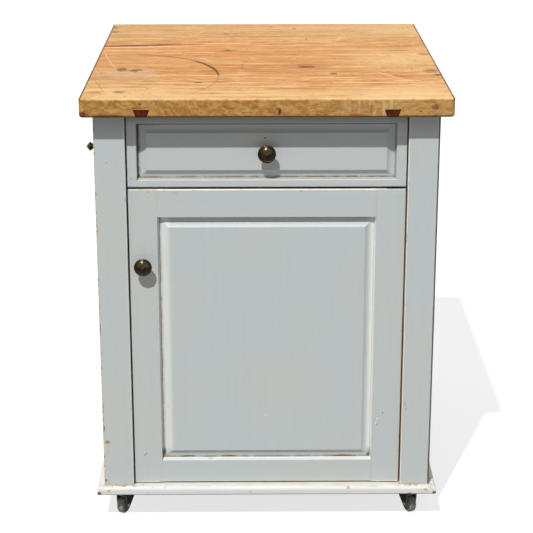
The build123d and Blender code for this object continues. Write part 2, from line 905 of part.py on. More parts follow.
def knob_screw(x, z, foot_y):
    """A pan-head screw from inside, through the front and into the knob."""
    with BuildPart() as screw:
        with BuildSketch(front_facing_plane(x, leaf_back, z)):
            Circle(knob_screw_radius)
        extrude(amount=leaf_back - foot_y + knob_hole_depth - 1)
        with BuildSketch(front_facing_plane(x, leaf_back + knob_screw_head, z)):
            Circle(knob_screw_head_radius)
        extrude(amount=knob_screw_head)
        fillet(screw.edges().group_by(Axis.Y)[-1], 1)
    return screw


# The door's knob stands on the free stile, the drawer's in the middle of the raised field
door_knob = knob(door_knob_x, door_knob_z, face_y)
door_knob_screw = knob_screw(door_knob_x, door_knob_z, face_y)
drawer_knob = knob(0, drawer_knob_z, field_y)
drawer_knob_screw = knob_screw(0, drawer_knob_z, field_y)


def tails(low, end_y, root_y):
    """Dovetail tails on a drawer side, wide at end_y and narrow at root_y."""
    pitch = (box_top - low) / tail_count
    with BuildSketch() as row:
        for i in range(tail_count):
            z = low + pitch * (i + 0.5)
            with BuildLine():
                Polyline(
                    (root_y, z - tail_narrow / 2),
                    (root_y, z + tail_narrow / 2),
                    (end_y, z + tail_wide / 2),
                    (end_y, z - tail_wide / 2),
                    close=True,
                )
            make_face()
    return row.sketch


# Drawer bottom: a thin board in grooves in the sides and the front, open at the back
bottom_z = (box_bottom + box_bottom_lift, box_bottom + box_bottom_lift + box_bottom_thick)
box_inner = box_half_width - box_side_thick
with BuildPart() as drawer_bottom:
    block(
        (-box_inner - box_groove, box_inner + box_groove),
        (leaf_back - box_groove, box_back - 1),
        bottom_z,
    )

# Drawer sides, joined to the front by half-blind dovetails and to the back by through dovetails
tail_front = leaf_back - blind_dovetail
back_fore = box_back - box_side_thick
back_low = bottom_z[1]
with BuildPart() as drawer_left_side:
    with BuildSketch(Plane.YZ.offset(-box_half_width)):
        with Locations(((leaf_back + back_fore) / 2, (box_bottom + box_top) / 2)):
            Rectangle(back_fore - leaf_back, box_top - box_bottom)
        with Locations(((back_fore + box_back) / 2, (box_bottom + back_low) / 2)):
            Rectangle(box_side_thick, back_low - box_bottom)
        add(tails(box_bottom, tail_front, leaf_back))
        add(tails(back_low, box_back, back_fore))
    extrude(amount=box_side_thick)
    cut_seats(drawer_bottom)
with BuildPart() as drawer_right_side:
    mirror(drawer_left_side.part, about=Plane.YZ)

with BuildPart() as drawer_back:
    block((-box_half_width, box_half_width), (back_fore, box_back), (back_low, box_top))
    cut_seats(drawer_left_side, drawer_right_side)

# Drawer front: one board with a sunk border round a raised field like the door's
drawer_centre_z = (drawer_bottom_edge + drawer_top_edge) / 2
drawer_height = drawer_top_edge - drawer_bottom_edge
flat_width = 2 * (leaf_half_width - drawer_border_side)
flat_height = drawer_height - 2 * drawer_border_rail
with BuildPart() as drawer_front:
    block(
        (-leaf_half_width, leaf_half_width),
        (face_y, leaf_back),
        (drawer_bottom_edge, drawer_top_edge),
    )
    chamfer(drawer_front.faces().sort_by(Axis.Y)[0].edges(), arris)
    with BuildSketch(front_facing_plane(0, face_y, drawer_centre_z)):
        Rectangle(flat_width, flat_height)
    with BuildSketch(front_facing_plane(0, face_y + sticking_depth, drawer_centre_z)):
        Rectangle(flat_width - 2 * sticking_width, flat_height - 2 * sticking_width)
    loft(ruled=True, mode=Mode.SUBTRACT)
    field_half_width = flat_width / 2 - sticking_width
    field_half_height = flat_height / 2 - sticking_width
    add(raised_field(field_half_width, field_half_height, drawer_centre_z, drawer_cove).part)
    cut_seats(drawer_left_side, drawer_right_side, drawer_bottom)
    with BuildSketch(front_facing_plane(0, leaf_back, drawer_knob_z)):
        Circle(knob_screw_radius + running_clearance)
    extrude(amount=leaf_thick, mode=Mode.SUBTRACT)


def caster_plane(x, y, turn, axis="up", offset=0.0):
    """A working plane on a caster turned about its kingpin.

    "up" looks down on the caster; "axle" lies across it, normal along the axle.
    """
    a = radians(turn)
    along_axle = (cos(a), sin(a), 0)
    backward = (-sin(a), cos(a), 0)
    if axis == "up":
        return Plane(origin=(x, y, offset), x_dir=along_axle, z_dir=(0, 0, 1))
    origin = (x + along_axle[0] * offset, y + along_axle[1] * offset, 0)
    return Plane(origin=origin, x_dir=backward, z_dir=along_axle)


def boss_point(angle):
    """A point on the rim of the round boss at the axle, in the leg's own plane."""
    a = radians(angle)
    return (-caster_trail + axle_boss * cos(a), wheel_radius + axle_boss * sin(a))


def caster_fork(x, y, turn):
    """A stamped fork: a bent arch, trimmed to legs that narrow down to the axle."""
    across = caster_plane(x, y, turn)
    with BuildPart() as fork:
        arch = Plane(
            origin=across.origin + across.y_dir * fork_rear,
            x_dir=across.x_dir,
            z_dir=-across.y_dir,
        )
        with BuildSketch(arch):
            with Locations((0, fork_top / 2)):
                Rectangle(2 * fork_outer, fork_top)
            with Locations((0, (fork_top - fork_metal) / 2)):
                Rectangle(fork_inner, fork_top - fork_metal, mode=Mode.SUBTRACT)
        extrude(amount=fork_rear - fork_front)
        bends = fork.edges().filter_by(lambda e: abs(e.tangent_at(0).Z) < 0.1)
        crown_edges = bends.group_by(Axis.Z)[-1].sort_by(lambda e: e.length)[-2:]
        fillet(crown_edges, fork_bend)
        with BuildSketch(caster_plane(x, y, turn, "axle", -fork_outer)) as leg_shape:
            with BuildLine():
                Polyline(
                    (fork_front, fork_top),
                    (fork_rear, fork_top),
                    (fork_rear, fork_top - 5),
                    boss_point(-44),
                    boss_point(200),
                    (fork_front, fork_top - 6),
                    close=True,
                )
            make_face()
            with Locations((-caster_trail, wheel_radius)):
                Circle(axle_boss)
        extrude(amount=2 * fork_outer, mode=Mode.INTERSECT)
        with BuildSketch(caster_plane(x, y, turn, "axle", -fork_outer)):
            with Locations((-caster_trail, wheel_radius)):
                Circle(axle_radius + running_clearance)
        extrude(amount=2 * fork_outer, mode=Mode.SUBTRACT)
        with BuildSketch(caster_plane(x, y, turn, "up", fork_top)):
            Circle(race_cup_radius - race_cup_wall - 2 * race_play)
        extrude(amount=race_top - fork_top)
        with BuildSketch(caster_plane(x, y, turn, "up", race_top)):
            Circle(kingpin_radius + running_clearance)
        extrude(amount=-(race_top - fork_top + fork_metal), mode=Mode.SUBTRACT)
    return fork


def caster_wheel(x, y, turn):
    """A hard wheel with rounded tread edges, dished sides and a hub."""
    half = wheel_width / 2
    bore = axle_radius + running_clearance
    across = caster_plane(x, y, turn)
    centre = across.origin - across.y_dir * caster_trail + Vector(0, 0, wheel_radius)
    with BuildPart() as wheel:
        with BuildSketch(Plane(origin=centre, x_dir=across.x_dir, z_dir=-across.y_dir)):
            with BuildLine():
                Polyline(
                    (0, bore),
                    (half + 1, bore),
                    (half + 1, wheel_hub_radius),
                    (half - wheel_dish_depth, wheel_hub_radius + 1),
                    (half - wheel_dish_depth, wheel_dish_radius),
                    (half, wheel_dish_radius + 1),
                    (half, wheel_radius - tread_round),
                    (half - tread_round, wheel_radius),
                    (0, wheel_radius),
                    close=True,
                )
            make_face()
            mirror(about=Plane.YZ)
        revolve(axis=Axis(centre, across.x_dir))
    return wheel


def caster_axle(x, y, turn):
    """A rivet with a domed head at each end."""
    across = caster_plane(x, y, turn)
    centre = across.origin - across.y_dir * caster_trail + Vector(0, 0, wheel_radius)
    with BuildPart() as axle:
        with BuildSketch(Plane(origin=centre, x_dir=across.x_dir, z_dir=-across.y_dir)):
            with BuildLine():
                Polyline(
                    (-fork_outer, rivet_head_radius),
                    (-fork_outer, axle_radius),
                    (fork_outer, axle_radius),
                    (fork_outer, rivet_head_radius),
                )
                TangentArc((axle_end, 0), (fork_outer, rivet_head_radius), tangent=(0, 1))
                Line((axle_end, 0), (-axle_end, 0))
                TangentArc((-axle_end, 0), (-fork_outer, rivet_head_radius), tangent=(0, 1))
            make_face()
        revolve(axis=Axis(centre, across.x_dir))
    return axle


# Write every piece
cabinet_pieces = {
    "worktop": worktop,
    "dovetail_battens": dovetail_battens,
    "worktop_screws": worktop_screws,
    "front_left_post": front_left_post,
    "front_right_post": front_right_post,
    "back_left_post": back_left_post,
    "back_right_post": back_right_post,
    "front_top_rail": front_top_rail,
    "drawer_divider_rail": drawer_divider_rail,
    "left_top_rail": left_top_rail,
    "left_bottom_rail": left_bottom_rail,
    "right_top_rail": right_top_rail,
    "right_bottom_rail": right_bottom_rail,
    "back_top_rail": back_top_rail,
    "back_bottom_rail": back_bottom_rail,
    "left_side_panel": left_side_panel,
    "right_side_panel": right_side_panel,
    "back_panel": back_panel,
    "base_board": base_board,
    "base_screws": base_screws,
    "shelf": shelf,
    "shelf_cleats": shelf_cleats,
    "drawer_runners": drawer_runners,
    "drawer_guides": drawer_guides,
    "drawer_kickers": drawer_kickers,
    "drawer_stops": drawer_stops,
    "door_catch": door_catch,
    "top_pivot_plate": top_pivot_plate,
    "bottom_pivot_plate": bottom_pivot_plate,
    "side_peg": side_peg,
    "caster_plates": caster_plates,
    "caster_screws": caster_screws,
}
drawer_pieces = {
    "drawer_front": drawer_front,
    "drawer_left_side": drawer_left_side,
    "drawer_right_side": drawer_right_side,
    "drawer_back": drawer_back,
    "drawer_bottom": drawer_bottom,
    "drawer_knob": drawer_knob,
    "drawer_knob_screw": drawer_knob_screw,
}
door_pieces = {
    "door_left_stile": door_left_stile,
    "door_right_stile": door_right_stile,
    "door_top_rail": door_top_rail,
    "door_bottom_rail": door_bottom_rail,
    "door_panel": door_panel,
    "door_knob": door_knob,
    "door_knob_screw": door_knob_screw,
    "pivot_leaves": pivot_leaves,
    "catch_strike": catch_strike,
}
for pieces in (cabinet_pieces, drawer_pieces, door_pieces):
    for name, builder in pieces.items():
        finish_piece(builder, name)

corner_names = ("front_left", "front_right", "back_left", "back_right")
for corner, place in zip(corner_names, caster_places):
    finish_piece(caster_fork(*place), f"{corner}_caster_fork")
    finish_piece(caster_wheel(*place), f"{corner}_caster_wheel")
    finish_piece(caster_axle(*place), f"{corner}_caster_axle")
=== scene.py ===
# %% [markdown]
# A painted kitchen base cabinet with a butcher's-block worktop.
# The shapes come from the cabinet's solid model, which is loaded first. Everything here is
# in metres, with +X to the cabinet's right, -Y out of its front and +Z up.

# %% Load the model
import json
import math
import bpy
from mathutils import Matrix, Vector


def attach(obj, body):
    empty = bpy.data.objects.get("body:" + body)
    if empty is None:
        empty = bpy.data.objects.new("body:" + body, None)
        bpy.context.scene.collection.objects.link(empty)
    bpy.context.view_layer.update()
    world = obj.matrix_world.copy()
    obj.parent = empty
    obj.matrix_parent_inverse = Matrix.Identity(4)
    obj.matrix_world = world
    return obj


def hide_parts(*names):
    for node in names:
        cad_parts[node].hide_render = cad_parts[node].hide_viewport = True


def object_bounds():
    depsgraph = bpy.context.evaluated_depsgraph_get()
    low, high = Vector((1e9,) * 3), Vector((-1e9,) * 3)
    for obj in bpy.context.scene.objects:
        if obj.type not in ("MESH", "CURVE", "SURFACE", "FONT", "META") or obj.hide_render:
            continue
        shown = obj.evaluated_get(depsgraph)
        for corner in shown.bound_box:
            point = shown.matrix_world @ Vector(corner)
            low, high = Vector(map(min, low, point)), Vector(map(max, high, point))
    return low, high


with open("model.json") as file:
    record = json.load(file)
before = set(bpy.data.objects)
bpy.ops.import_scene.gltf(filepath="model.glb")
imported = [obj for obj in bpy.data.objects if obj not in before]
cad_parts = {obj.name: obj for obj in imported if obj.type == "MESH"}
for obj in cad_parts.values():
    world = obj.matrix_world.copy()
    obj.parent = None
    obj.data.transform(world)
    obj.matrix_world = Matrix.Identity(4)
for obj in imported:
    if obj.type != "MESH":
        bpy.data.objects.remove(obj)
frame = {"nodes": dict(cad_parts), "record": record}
solid_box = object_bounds()
(_, front_y, _), (half_width, back_y, top_z) = solid_box
print("solid box:", [[round(v, 4) for v in corner] for corner in solid_box])

# %% [markdown]
# The camera stands in front of the cabinet, a little above it, and looks down by 17 degrees.
# Its long lens keeps the posts nearly parallel. A small downward shift frames the cabinet
# with its casters, as a view camera would, without tilting further.

# %% Camera
frame_pixels = 533
focal_pixels = 1525.9
horizon_pixel = 200.0
sensor_mm = 36.0
camera_place = (-0.0235, -2.8708, 1.3991)
look_down = math.radians(16.947)
look_right = math.radians(0.5125)

camera_data = bpy.data.cameras.new("camera")
camera_data.sensor_width = sensor_mm
camera_data.lens = focal_pixels / frame_pixels * sensor_mm
camera_data.shift_y = (horizon_pixel - frame_pixels / 2) / frame_pixels
camera = bpy.data.objects.new("camera", camera_data)
camera.location = camera_place
camera.rotation_euler = (math.pi / 2 - look_down, 0, -look_right)
bpy.context.scene.collection.objects.link(camera)
bpy.context.scene.camera = camera
bpy.context.scene.view_settings.view_transform = "Standard"
print("lens", round(camera_data.lens, 1), "mm, shift", round(camera_data.shift_y, 4))

# %% [markdown]
# Materials are node trees. A few short helpers keep them readable. Each adds one kind of node
# to the tree that lies on the bench, and to start a group or a finish is to lay its tree
# there. The first helpers feed a socket, add a node and do arithmetic.

# %% Node helpers
class bench:
    """Holds the node tree that is being built."""
    tree = None


def feed(socket, value):
    """Connects a socket, or sets its value."""
    if isinstance(value, bpy.types.NodeSocket):
        bench.tree.links.new(value, socket)
    else:
        socket.default_value = value


def add_node(kind, inputs=None, **settings):
    """Adds a node, sets its options and feeds its inputs."""
    made = bench.tree.nodes.new(kind)
    for option, value in settings.items():
        setattr(made, option, value)
    for name, value in (inputs or {}).items():
        feed(made.inputs[name], value)
    return made


def calc(operation, a, b=0.0, clamp=False):
    """One step of arithmetic on numbers."""
    return add_node("ShaderNodeMath", {0: a, 1: b}, operation=operation, use_clamp=clamp).outputs[0]


def vector_calc(operation, a, b=(0.0, 0.0, 0.0)):
    """One step of arithmetic on vectors."""
    made = add_node("ShaderNodeVectorMath", {0: a, 1: b}, operation=operation)
    return made.outputs["Value" if operation in ("DOT_PRODUCT", "LENGTH") else "Vector"]


def split(vector):
    """The three parts of a vector."""
    return add_node("ShaderNodeSeparateXYZ", {0: vector}).outputs


def combine(x=0.0, y=0.0, z=0.0):
    """A vector made of three numbers."""
    return add_node("ShaderNodeCombineXYZ", {0: x, 1: y, 2: z}).outputs[0]


def mapping(vector, kind="POINT", **values):
    """A point that is moved, turned or stretched."""
    return add_node("ShaderNodeMapping", {"Vector": vector, **values}, vector_type=kind).outputs[0]


print("node helpers ready")

# %% [markdown]
# A mask is a number from 0 to 1 that says where an effect shows. These helpers make masks and
# combine them: remap turns a range of any value into a mask, product keeps what all masks
# share, and either keeps what any of them covers.

# %% Mask helpers
def remap(value, low, high, to_low=0.0, to_high=1.0):
    """Stretches low..high to to_low..to_high with soft ends."""
    made = add_node(
        "ShaderNodeMapRange",
        {"Value": value, "From Min": low, "From Max": high, "To Min": to_low, "To Max": to_high},
        interpolation_type="SMOOTHSTEP", clamp=True,
    )
    return made.outputs["Result"]


def product(first, *others):
    """Several masks multiplied together."""
    for other in others:
        first = calc("MULTIPLY", first, other)
    return first


def either(first, *others):
    """The strongest of several masks."""
    for other in others:
        first = calc("MAXIMUM", first, other, clamp=True)
    return first


def inverse(mask):
    """A mask turned round."""
    return calc("SUBTRACT", 1.0, mask)


def absolute(value):
    """A number without its sign, which treats left and right alike."""
    return calc("ABSOLUTE", value)


def away_from(value, place):
    """How far a value is from a place, to either side."""
    return absolute(calc("SUBTRACT", value, place))


def noise(vector, scale, detail=3.0, roughness=0.55, stretch=None):
    """Soft cloudy noise, drawn out along an axis where stretch says so."""
    if stretch is not None:
        vector = mapping(vector, Scale=stretch)
    inputs = {"Vector": vector, "Scale": scale, "Detail": detail, "Roughness": roughness}
    return add_node("ShaderNodeTexNoise", inputs).outputs["Fac"]


print("mask helpers ready")

# %% [markdown]
# Colours are written as the three values from 0 to 255 that a screen shows, because those are
# easy to judge, and made linear for the shader. A finish grows in layers, as on the real
# piece: each layer lays one colour over the colour so far, where its masks allow.

# %% Colour helpers
def as_color(value):
    """Makes screen values linear, and passes a socket on as it is."""
    def linear(v):
        v /= 255
        return v / 12.92 if v <= 0.04045 else ((v + 0.055) / 1.055) ** 2.4
    if isinstance(value, bpy.types.NodeSocket):
        return value
    return (*map(linear, value), 1.0)


def tint(mask, under, over):
    """Goes from one colour to another as the mask rises."""
    made = add_node("ShaderNodeMix", data_type="RGBA")
    for index, value in ((0, mask), (6, as_color(under)), (7, as_color(over))):
        feed(made.inputs[index], value)
    return made.outputs[2]


def lay(color, over, *masks):
    """Lays a colour over the colour so far, where all the masks are 1."""
    return tint(product(*masks), color, over)


def add_layers(color, layers):
    """Lays colours by pattern, each as pattern, where it starts, where it is full, strength, colour."""
    for pattern, start, full, strength, over in layers:
        color = lay(color, over, remap(pattern, start, full, 0.0, strength))
    return color


print("colour helpers ready")

# %% [markdown]
# Effects that several finishes share are node groups: worn edges, grime in corners, spots,
# scratches and wood fibres. Each one puts out masks or values only, and the material decides
# what to do with them.

# %% Group maker
def new_group(name, inputs, outputs):
    """An empty shader group on the bench. Gives it, its incoming and its outgoing sockets."""
    group = bpy.data.node_groups.new(name, "ShaderNodeTree")
    bench.tree = group
    for label, value in inputs.items():
        kind = "NodeSocketVector" if isinstance(value, tuple) else "NodeSocketFloat"
        group.interface.new_socket(label, in_out="INPUT", socket_type=kind).default_value = value
    for label in outputs:
        group.interface.new_socket(label, in_out="OUTPUT", socket_type="NodeSocketFloat")
    return group, add_node("NodeGroupInput").outputs, add_node("NodeGroupOutput").inputs


def place_group(group, **values):
    """Adds the group node first, because its sockets exist only once it has its tree."""
    made = add_node("ShaderNodeGroup", node_tree=group)
    for label, value in values.items():
        feed(made.inputs[label], value)
    return made.outputs


def mask_of(group, point, **values):
    """The mask that a group puts out at a surface point."""
    return place_group(group, Vector=point, **values)["Mask"]


origin = (0.0, 0.0, 0.0)
print("group maker ready")

# %% [markdown]
# Worn edge: paint and polish go first where two faces meet. The Bevel node gives the normal
# that a rounded edge would have. Where it differs from the real normal there is an edge, and
# noise breaks the wear into patches.

# %% Worn edge
worn_edge, given, result = new_group(
    "worn edge", {"Vector": origin, "Width": 0.002, "Wear": 0.5, "Patches": 40.0}, ["Mask"])
rounded = add_node("ShaderNodeBevel", {"Radius": given["Width"]}, samples=6).outputs[0]
flat = add_node("ShaderNodeNewGeometry").outputs["Normal"]
turn = inverse(vector_calc("DOT_PRODUCT", rounded, flat))
edge = calc("MULTIPLY", turn, 3.4)
patch = noise(given["Vector"], given["Patches"], 5.0, 0.65)
worn = calc("ADD", edge, calc("SUBTRACT", patch, 1.15))
worn = calc("ADD", worn, given["Wear"])
feed(result["Mask"], product(remap(worn, 0.35, 0.6), remap(edge, 0.04, 0.2)))
print("worn edge:", len(worn_edge.nodes), "nodes")

# %% [markdown]
# Corner grime: dirt and old wax gather where a surface is half hidden. The Ambient Occlusion
# node measures how hidden each point is.

# %% Corner grime
corner_grime, given, result = new_group(
    "corner grime", {"Vector": origin, "Reach": 0.004, "Patches": 60.0}, ["Mask"])
hidden = add_node("ShaderNodeAmbientOcclusion", {"Distance": given["Reach"]}, samples=6)
depth = inverse(hidden.outputs["AO"])
patch = noise(given["Vector"], given["Patches"], 4.0, 0.6)
feed(result["Mask"], product(remap(depth, 0.25, 0.75), remap(patch, 0.4, 0.65)))
print("corner grime:", len(corner_grime.nodes), "nodes")

# %% [markdown]
# Blot: one ragged spot at a known place, such as a knot, a chip or a stain. A Mapping node
# moves the spot's centre to zero and its half size to one, and a round gradient, which is 1
# at its middle and 0 at four half sizes out, gives the distance. The place also shifts the
# noise, so that no two blots have the same outline.

# %% Blot
blot_reach = 4.0
blot, given, result = new_group(
    "blot", {"Vector": origin, "Centre": origin, "Size": (0.01, 0.01, 0.01), "Ragged": 0.5}, ["Mask"])
away = mapping(given["Vector"], kind="TEXTURE", Location=given["Centre"], Scale=given["Size"])
own_place = vector_calc("MULTIPLY", given["Centre"], (61.0, 47.0, 53.0))
rough = noise(mapping(away, Location=own_place), 1.6, 4.0, 0.6)
swing = calc("MULTIPLY", calc("SUBTRACT", rough, 0.5), calc("MULTIPLY", given["Ragged"], 3.0))
shrunk = mapping(away, Scale=(1 / blot_reach, 1 / blot_reach, 1 / blot_reach))
closeness = add_node("ShaderNodeTexGradient", {"Vector": shrunk}, gradient_type="SPHERICAL").outputs["Fac"]
distance = calc("ADD", calc("MULTIPLY", inverse(closeness), blot_reach), swing)
feed(result["Mask"], remap(distance, 1.15, 0.6))
print("blot:", len(blot.nodes), "nodes")

# %% [markdown]
# Scratch: a thin line between two points, which fades in and out along its length. Noise
# makes it drift a little from side to side, and breaks it up.

# %% Scratch
scratch, given, result = new_group(
    "scratch", {"Vector": origin, "Start": origin, "End": (0.1, 0.0, 0.0), "Width": 0.001}, ["Mask"])
wander = add_node("ShaderNodeTexNoise", {"Vector": given["Vector"], "Scale": 18.0, "Detail": 2.0})
drift = vector_calc("SUBTRACT", wander.outputs["Color"], (0.5, 0.5, 0.5))
drift = vector_calc("MULTIPLY", drift, (0.006, 0.006, 0.0))
along = vector_calc("SUBTRACT", given["End"], given["Start"])
here = vector_calc("SUBTRACT", vector_calc("ADD", given["Vector"], drift), given["Start"])
covered = vector_calc("DOT_PRODUCT", here, along)
share = calc("DIVIDE", covered, vector_calc("DOT_PRODUCT", along, along), clamp=True)
on_line = add_node("ShaderNodeVectorMath", {0: along, "Scale": share}, operation="SCALE").outputs["Vector"]
distance = vector_calc("LENGTH", vector_calc("SUBTRACT", here, on_line))
ends = product(remap(share, 0.0, 0.08), remap(share, 1.0, 0.75))
line = remap(distance, given["Width"], calc("MULTIPLY", given["Width"], 0.35))
broken = remap(noise(given["Vector"], 120.0, 3.0), 0.3, 0.5, 0.45, 1.0)
feed(result["Mask"], product(line, ends, broken))
print("scratch:", len(scratch.nodes), "nodes")

# %% [markdown]
# Wood fibres: three noises drawn out along the grain. The broad one tells early from late
# wood, the narrow one gives the fibres, and the last gives short dark pores.

# %% Wood fibres
wood_fibres, given, result = new_group(
    "wood fibres",
    {"Vector": origin, "Stretch": (1.0, 12.0, 12.0), "Size": 8.0},
    ["Streaks", "Fibres", "Pores"],
)
drawn = vector_calc("MULTIPLY", given["Vector"], given["Stretch"])
feed(result["Streaks"], noise(drawn, given["Size"], 4.0, 0.6))
feed(result["Fibres"], noise(drawn, calc("MULTIPLY", given["Size"], 6.0), 4.0, 0.7))
pores = noise(drawn, calc("MULTIPLY", given["Size"], 14.0), 2.0, 0.5)
feed(result["Pores"], remap(pores, 0.62, 0.72))
print("groups:", sorted(group.name for group in bpy.data.node_groups))

# %% [markdown]
# A finish starts as a material with a Principled shader, the surface point in object
# coordinates, and a bump. The bump's normal starts from a Bevel node, so that every sawn
# edge catches a thin line of light, as a real eased arris does.

# %% Start a finish
def start_finish(name, metallic=0.0, coat=0.0, specular=0.5):
    """A new material on the bench. Gives it, its Principled node and the surface point."""
    material = bpy.data.materials.new(name)
    material.use_nodes = True
    bench.tree = material.node_tree
    shader = bench.tree.nodes["Principled BSDF"]
    shader.inputs["Metallic"].default_value = metallic
    shader.inputs["Coat Weight"].default_value = coat
    shader.inputs["Specular IOR Level"].default_value = specular
    return material, shader, add_node("ShaderNodeTexCoord").outputs["Object"]


def facing_on_piece():
    """The way a face looks on its own piece, which stays the same when the piece swings."""
    return split(add_node("ShaderNodeTexCoord").outputs["Normal"])


def finish_surface(shader, color, roughness, height, depth=0.0004, ease=0.0008):
    """Connects colour, roughness and relief to the shader."""
    eased = add_node("ShaderNodeBevel", {"Radius": ease}, samples=4).outputs[0]
    relief = {"Strength": 1.0, "Distance": depth, "Height": height, "Normal": eased}
    bump = add_node("ShaderNodeBump", relief)
    feed(shader.inputs["Base Color"], color)
    feed(shader.inputs["Roughness"], roughness)
    feed(shader.inputs["Normal"], bump.outputs[0])


print("finish helpers ready")

# %% [markdown]
# Knots, stains, chips and cuts have known places, so they are short tables. A row on the top
# gives x, y and the half sizes along them. A row on a front gives x, z and the half sizes
# along them, after its plane: how far back it lies and how deep it reaches. Every row goes on
# with its raggedness, strength and colour.

# %% Marks and cuts
def marks_on_top(rows, reach_down=0.01):
    """Spots on the worktop's upper face."""
    return [((x, y, top_z), (half_x, half_y, reach_down), *rest) for x, y, half_x, half_y, *rest in rows]


def marks_in_front(rows):
    """Spots on planes that face the front."""
    return [((x, y, z), (half_x, reach, half_z), *rest) for (y, reach), x, z, half_x, half_z, *rest in rows]


def add_marks(point, color, marks):
    """Lays ragged spots on a colour."""
    for centre, size, ragged, strength, mark_color in marks:
        spot = mask_of(blot, point, Centre=centre, Size=size, Ragged=ragged)
        color = lay(color, mark_color, spot, strength)
    return color


def add_cuts(point, color, cuts):
    """Lays thin lines on a colour, each as start, end, half width, strength, colour."""
    for start, end, width, strength, cut_color in cuts:
        line = mask_of(scratch, point, Start=start, End=end, Width=width)
        color = lay(color, cut_color, line, strength)
    return color


print("mark helpers ready")

# %% [markdown]
# The worktop is solid wood, glued up from wide boards that run from side to side. It is lit
# most steeply of all the faces, so its colours are written a little darker than they look.
# Broad streaks, narrow threads, fine fibres, short flecks and dark late wood lie over each
# other in layers. Each board's pattern is shifted by its own random step.

# %% Worktop boards and streaks
butcher_block, shader, point = start_finish("butcher block", specular=0.25)
axes = split(point)
across = absolute(axes[0])
is_top = remap(facing_on_piece()[2], 0.55, 0.8)

board_width = 0.117
row = calc("DIVIDE", calc("SUBTRACT", axes[1], front_y), board_width)
board_number = calc("FLOOR", row)
board_tone = add_node("ShaderNodeTexWhiteNoise", {"W": board_number}, noise_dimensions="1D").outputs["Value"]
shifted = vector_calc("ADD", point, combine(calc("MULTIPLY", board_tone, 3.0)))

honey, orange, pale = (203, 153, 91), (191, 122, 58), (219, 177, 119)
tan, cream, umber = (190, 153, 104), (224, 190, 136), (136, 84, 42)
streaks = noise(shifted, 62.0, 4.0, 0.62, (0.08, 1.0, 1.0))
threads = noise(shifted, 190.0, 3.0, 0.65, (0.14, 1.0, 1.0))
fibres = noise(shifted, 700.0, 3.0, 0.6, (0.05, 1.0, 1.0))
flecks = noise(shifted, 88.0, 3.0, 0.72, (0.26, 1.0, 1.0))
late_lines = noise(shifted, 66.0, 2.0, 0.5, (0.07, 1.0, 1.0))
wood = tint(remap(streaks, 0.40, 0.68), honey, orange)
wood = add_layers(wood, [
    (streaks, 0.46, 0.30, 0.80, pale),
    (threads, 0.49, 0.66, 0.75, orange),
    (threads, 0.46, 0.32, 0.75, pale),
    (fibres, 0.50, 0.70, 0.50, umber),
    (flecks, 0.52, 0.67, 0.60, umber),
    (flecks, 0.46, 0.32, 0.60, pale),
    (late_lines, 0.575, 0.655, 0.55, (160, 98, 48)),
    (late_lines, 0.425, 0.345, 0.55, (230, 192, 134)),
])
print("board width:", board_width, "m")

# %% [markdown]
# Now the slow changes: each is a soft band or a cloud, tied to the place where the light,
# the sink or years of wiping have changed the wood. The middle is orange, the front and the
# right are bleached, the back is tan and the left is greyer. Dark seams part the boards.

# %% Worktop tones
clouds = noise(point, 4.2, 3.0, 0.5, (0.7, 1.3, 1.0))
middle_y = 0.02
middle = product(remap(away_from(axes[1], middle_y), 0.20, 0.04), remap(axes[0], 0.30, 0.05))
wood = lay(wood, orange, middle, remap(clouds, 0.36, 0.6), 0.32)
bleached = either(remap(axes[0], 0.02, 0.30), remap(axes[1], -0.20, -0.33))
wood = lay(wood, cream, bleached, remap(clouds, 0.62, 0.40), 0.65)
wood = lay(wood, tan, remap(axes[1], 0.10, 0.30), 0.45)
drips = noise(point, 9.0, 4.0, 0.6, (0.6, 1.2, 1.0))
wood = lay(wood, (178, 138, 92), remap(axes[0], -0.12, -0.30), remap(drips, 0.42, 0.6), 0.45)
wood = add_layers(wood, [(board_tone, 0.0, 1.0, 0.22, (196, 142, 84))])
seam = remap(away_from(calc("FRACT", calc("ADD", row, 0.5)), 0.5), 0.010, 0.003)
seam_breaks = remap(noise(shifted, 9.0, 2.0, 0.5, (1.0, 0.1, 1.0)), 0.4, 0.6)
wood = lay(wood, umber, seam, seam_breaks, 0.4)
print("tones laid, nodes so far:", len(bench.tree.nodes))

# %% [markdown]
# Small things sit on top of the tones: short dark pores along the grain, specks, and fine
# knife lines that cross the grain at two angles. A knife line is the thin contour where a
# long drawn noise passes through its middle value.

# %% Worktop specks and knife lines
pores = noise(shifted, 240.0, 2.0, 0.5, (0.28, 1.0, 1.0))
specks = noise(point, 150.0, 2.0, 0.6, (1.0, 0.5, 1.0))
wood = add_layers(wood, [(pores, 0.63, 0.71, 0.55, umber), (specks, 0.665, 0.725, 0.6, (120, 76, 40))])
for angle, offset in ((24.0, 0.0), (-37.0, 5.0)):
    turned = mapping(point, Location=(offset, offset, 0.0), Rotation=(0.0, 0.0, math.radians(angle)))
    contour = away_from(noise(turned, 26.0, 1.0, 0.5, (1.0, 0.09, 1.0)), 0.5)
    stretches = remap(noise(turned, 11.0, 2.0, 0.5), 0.50, 0.62)
    wood = lay(wood, (238, 208, 162), remap(contour, 0.0065, 0.001), stretches, 0.36)
print("knife lines at two angles")
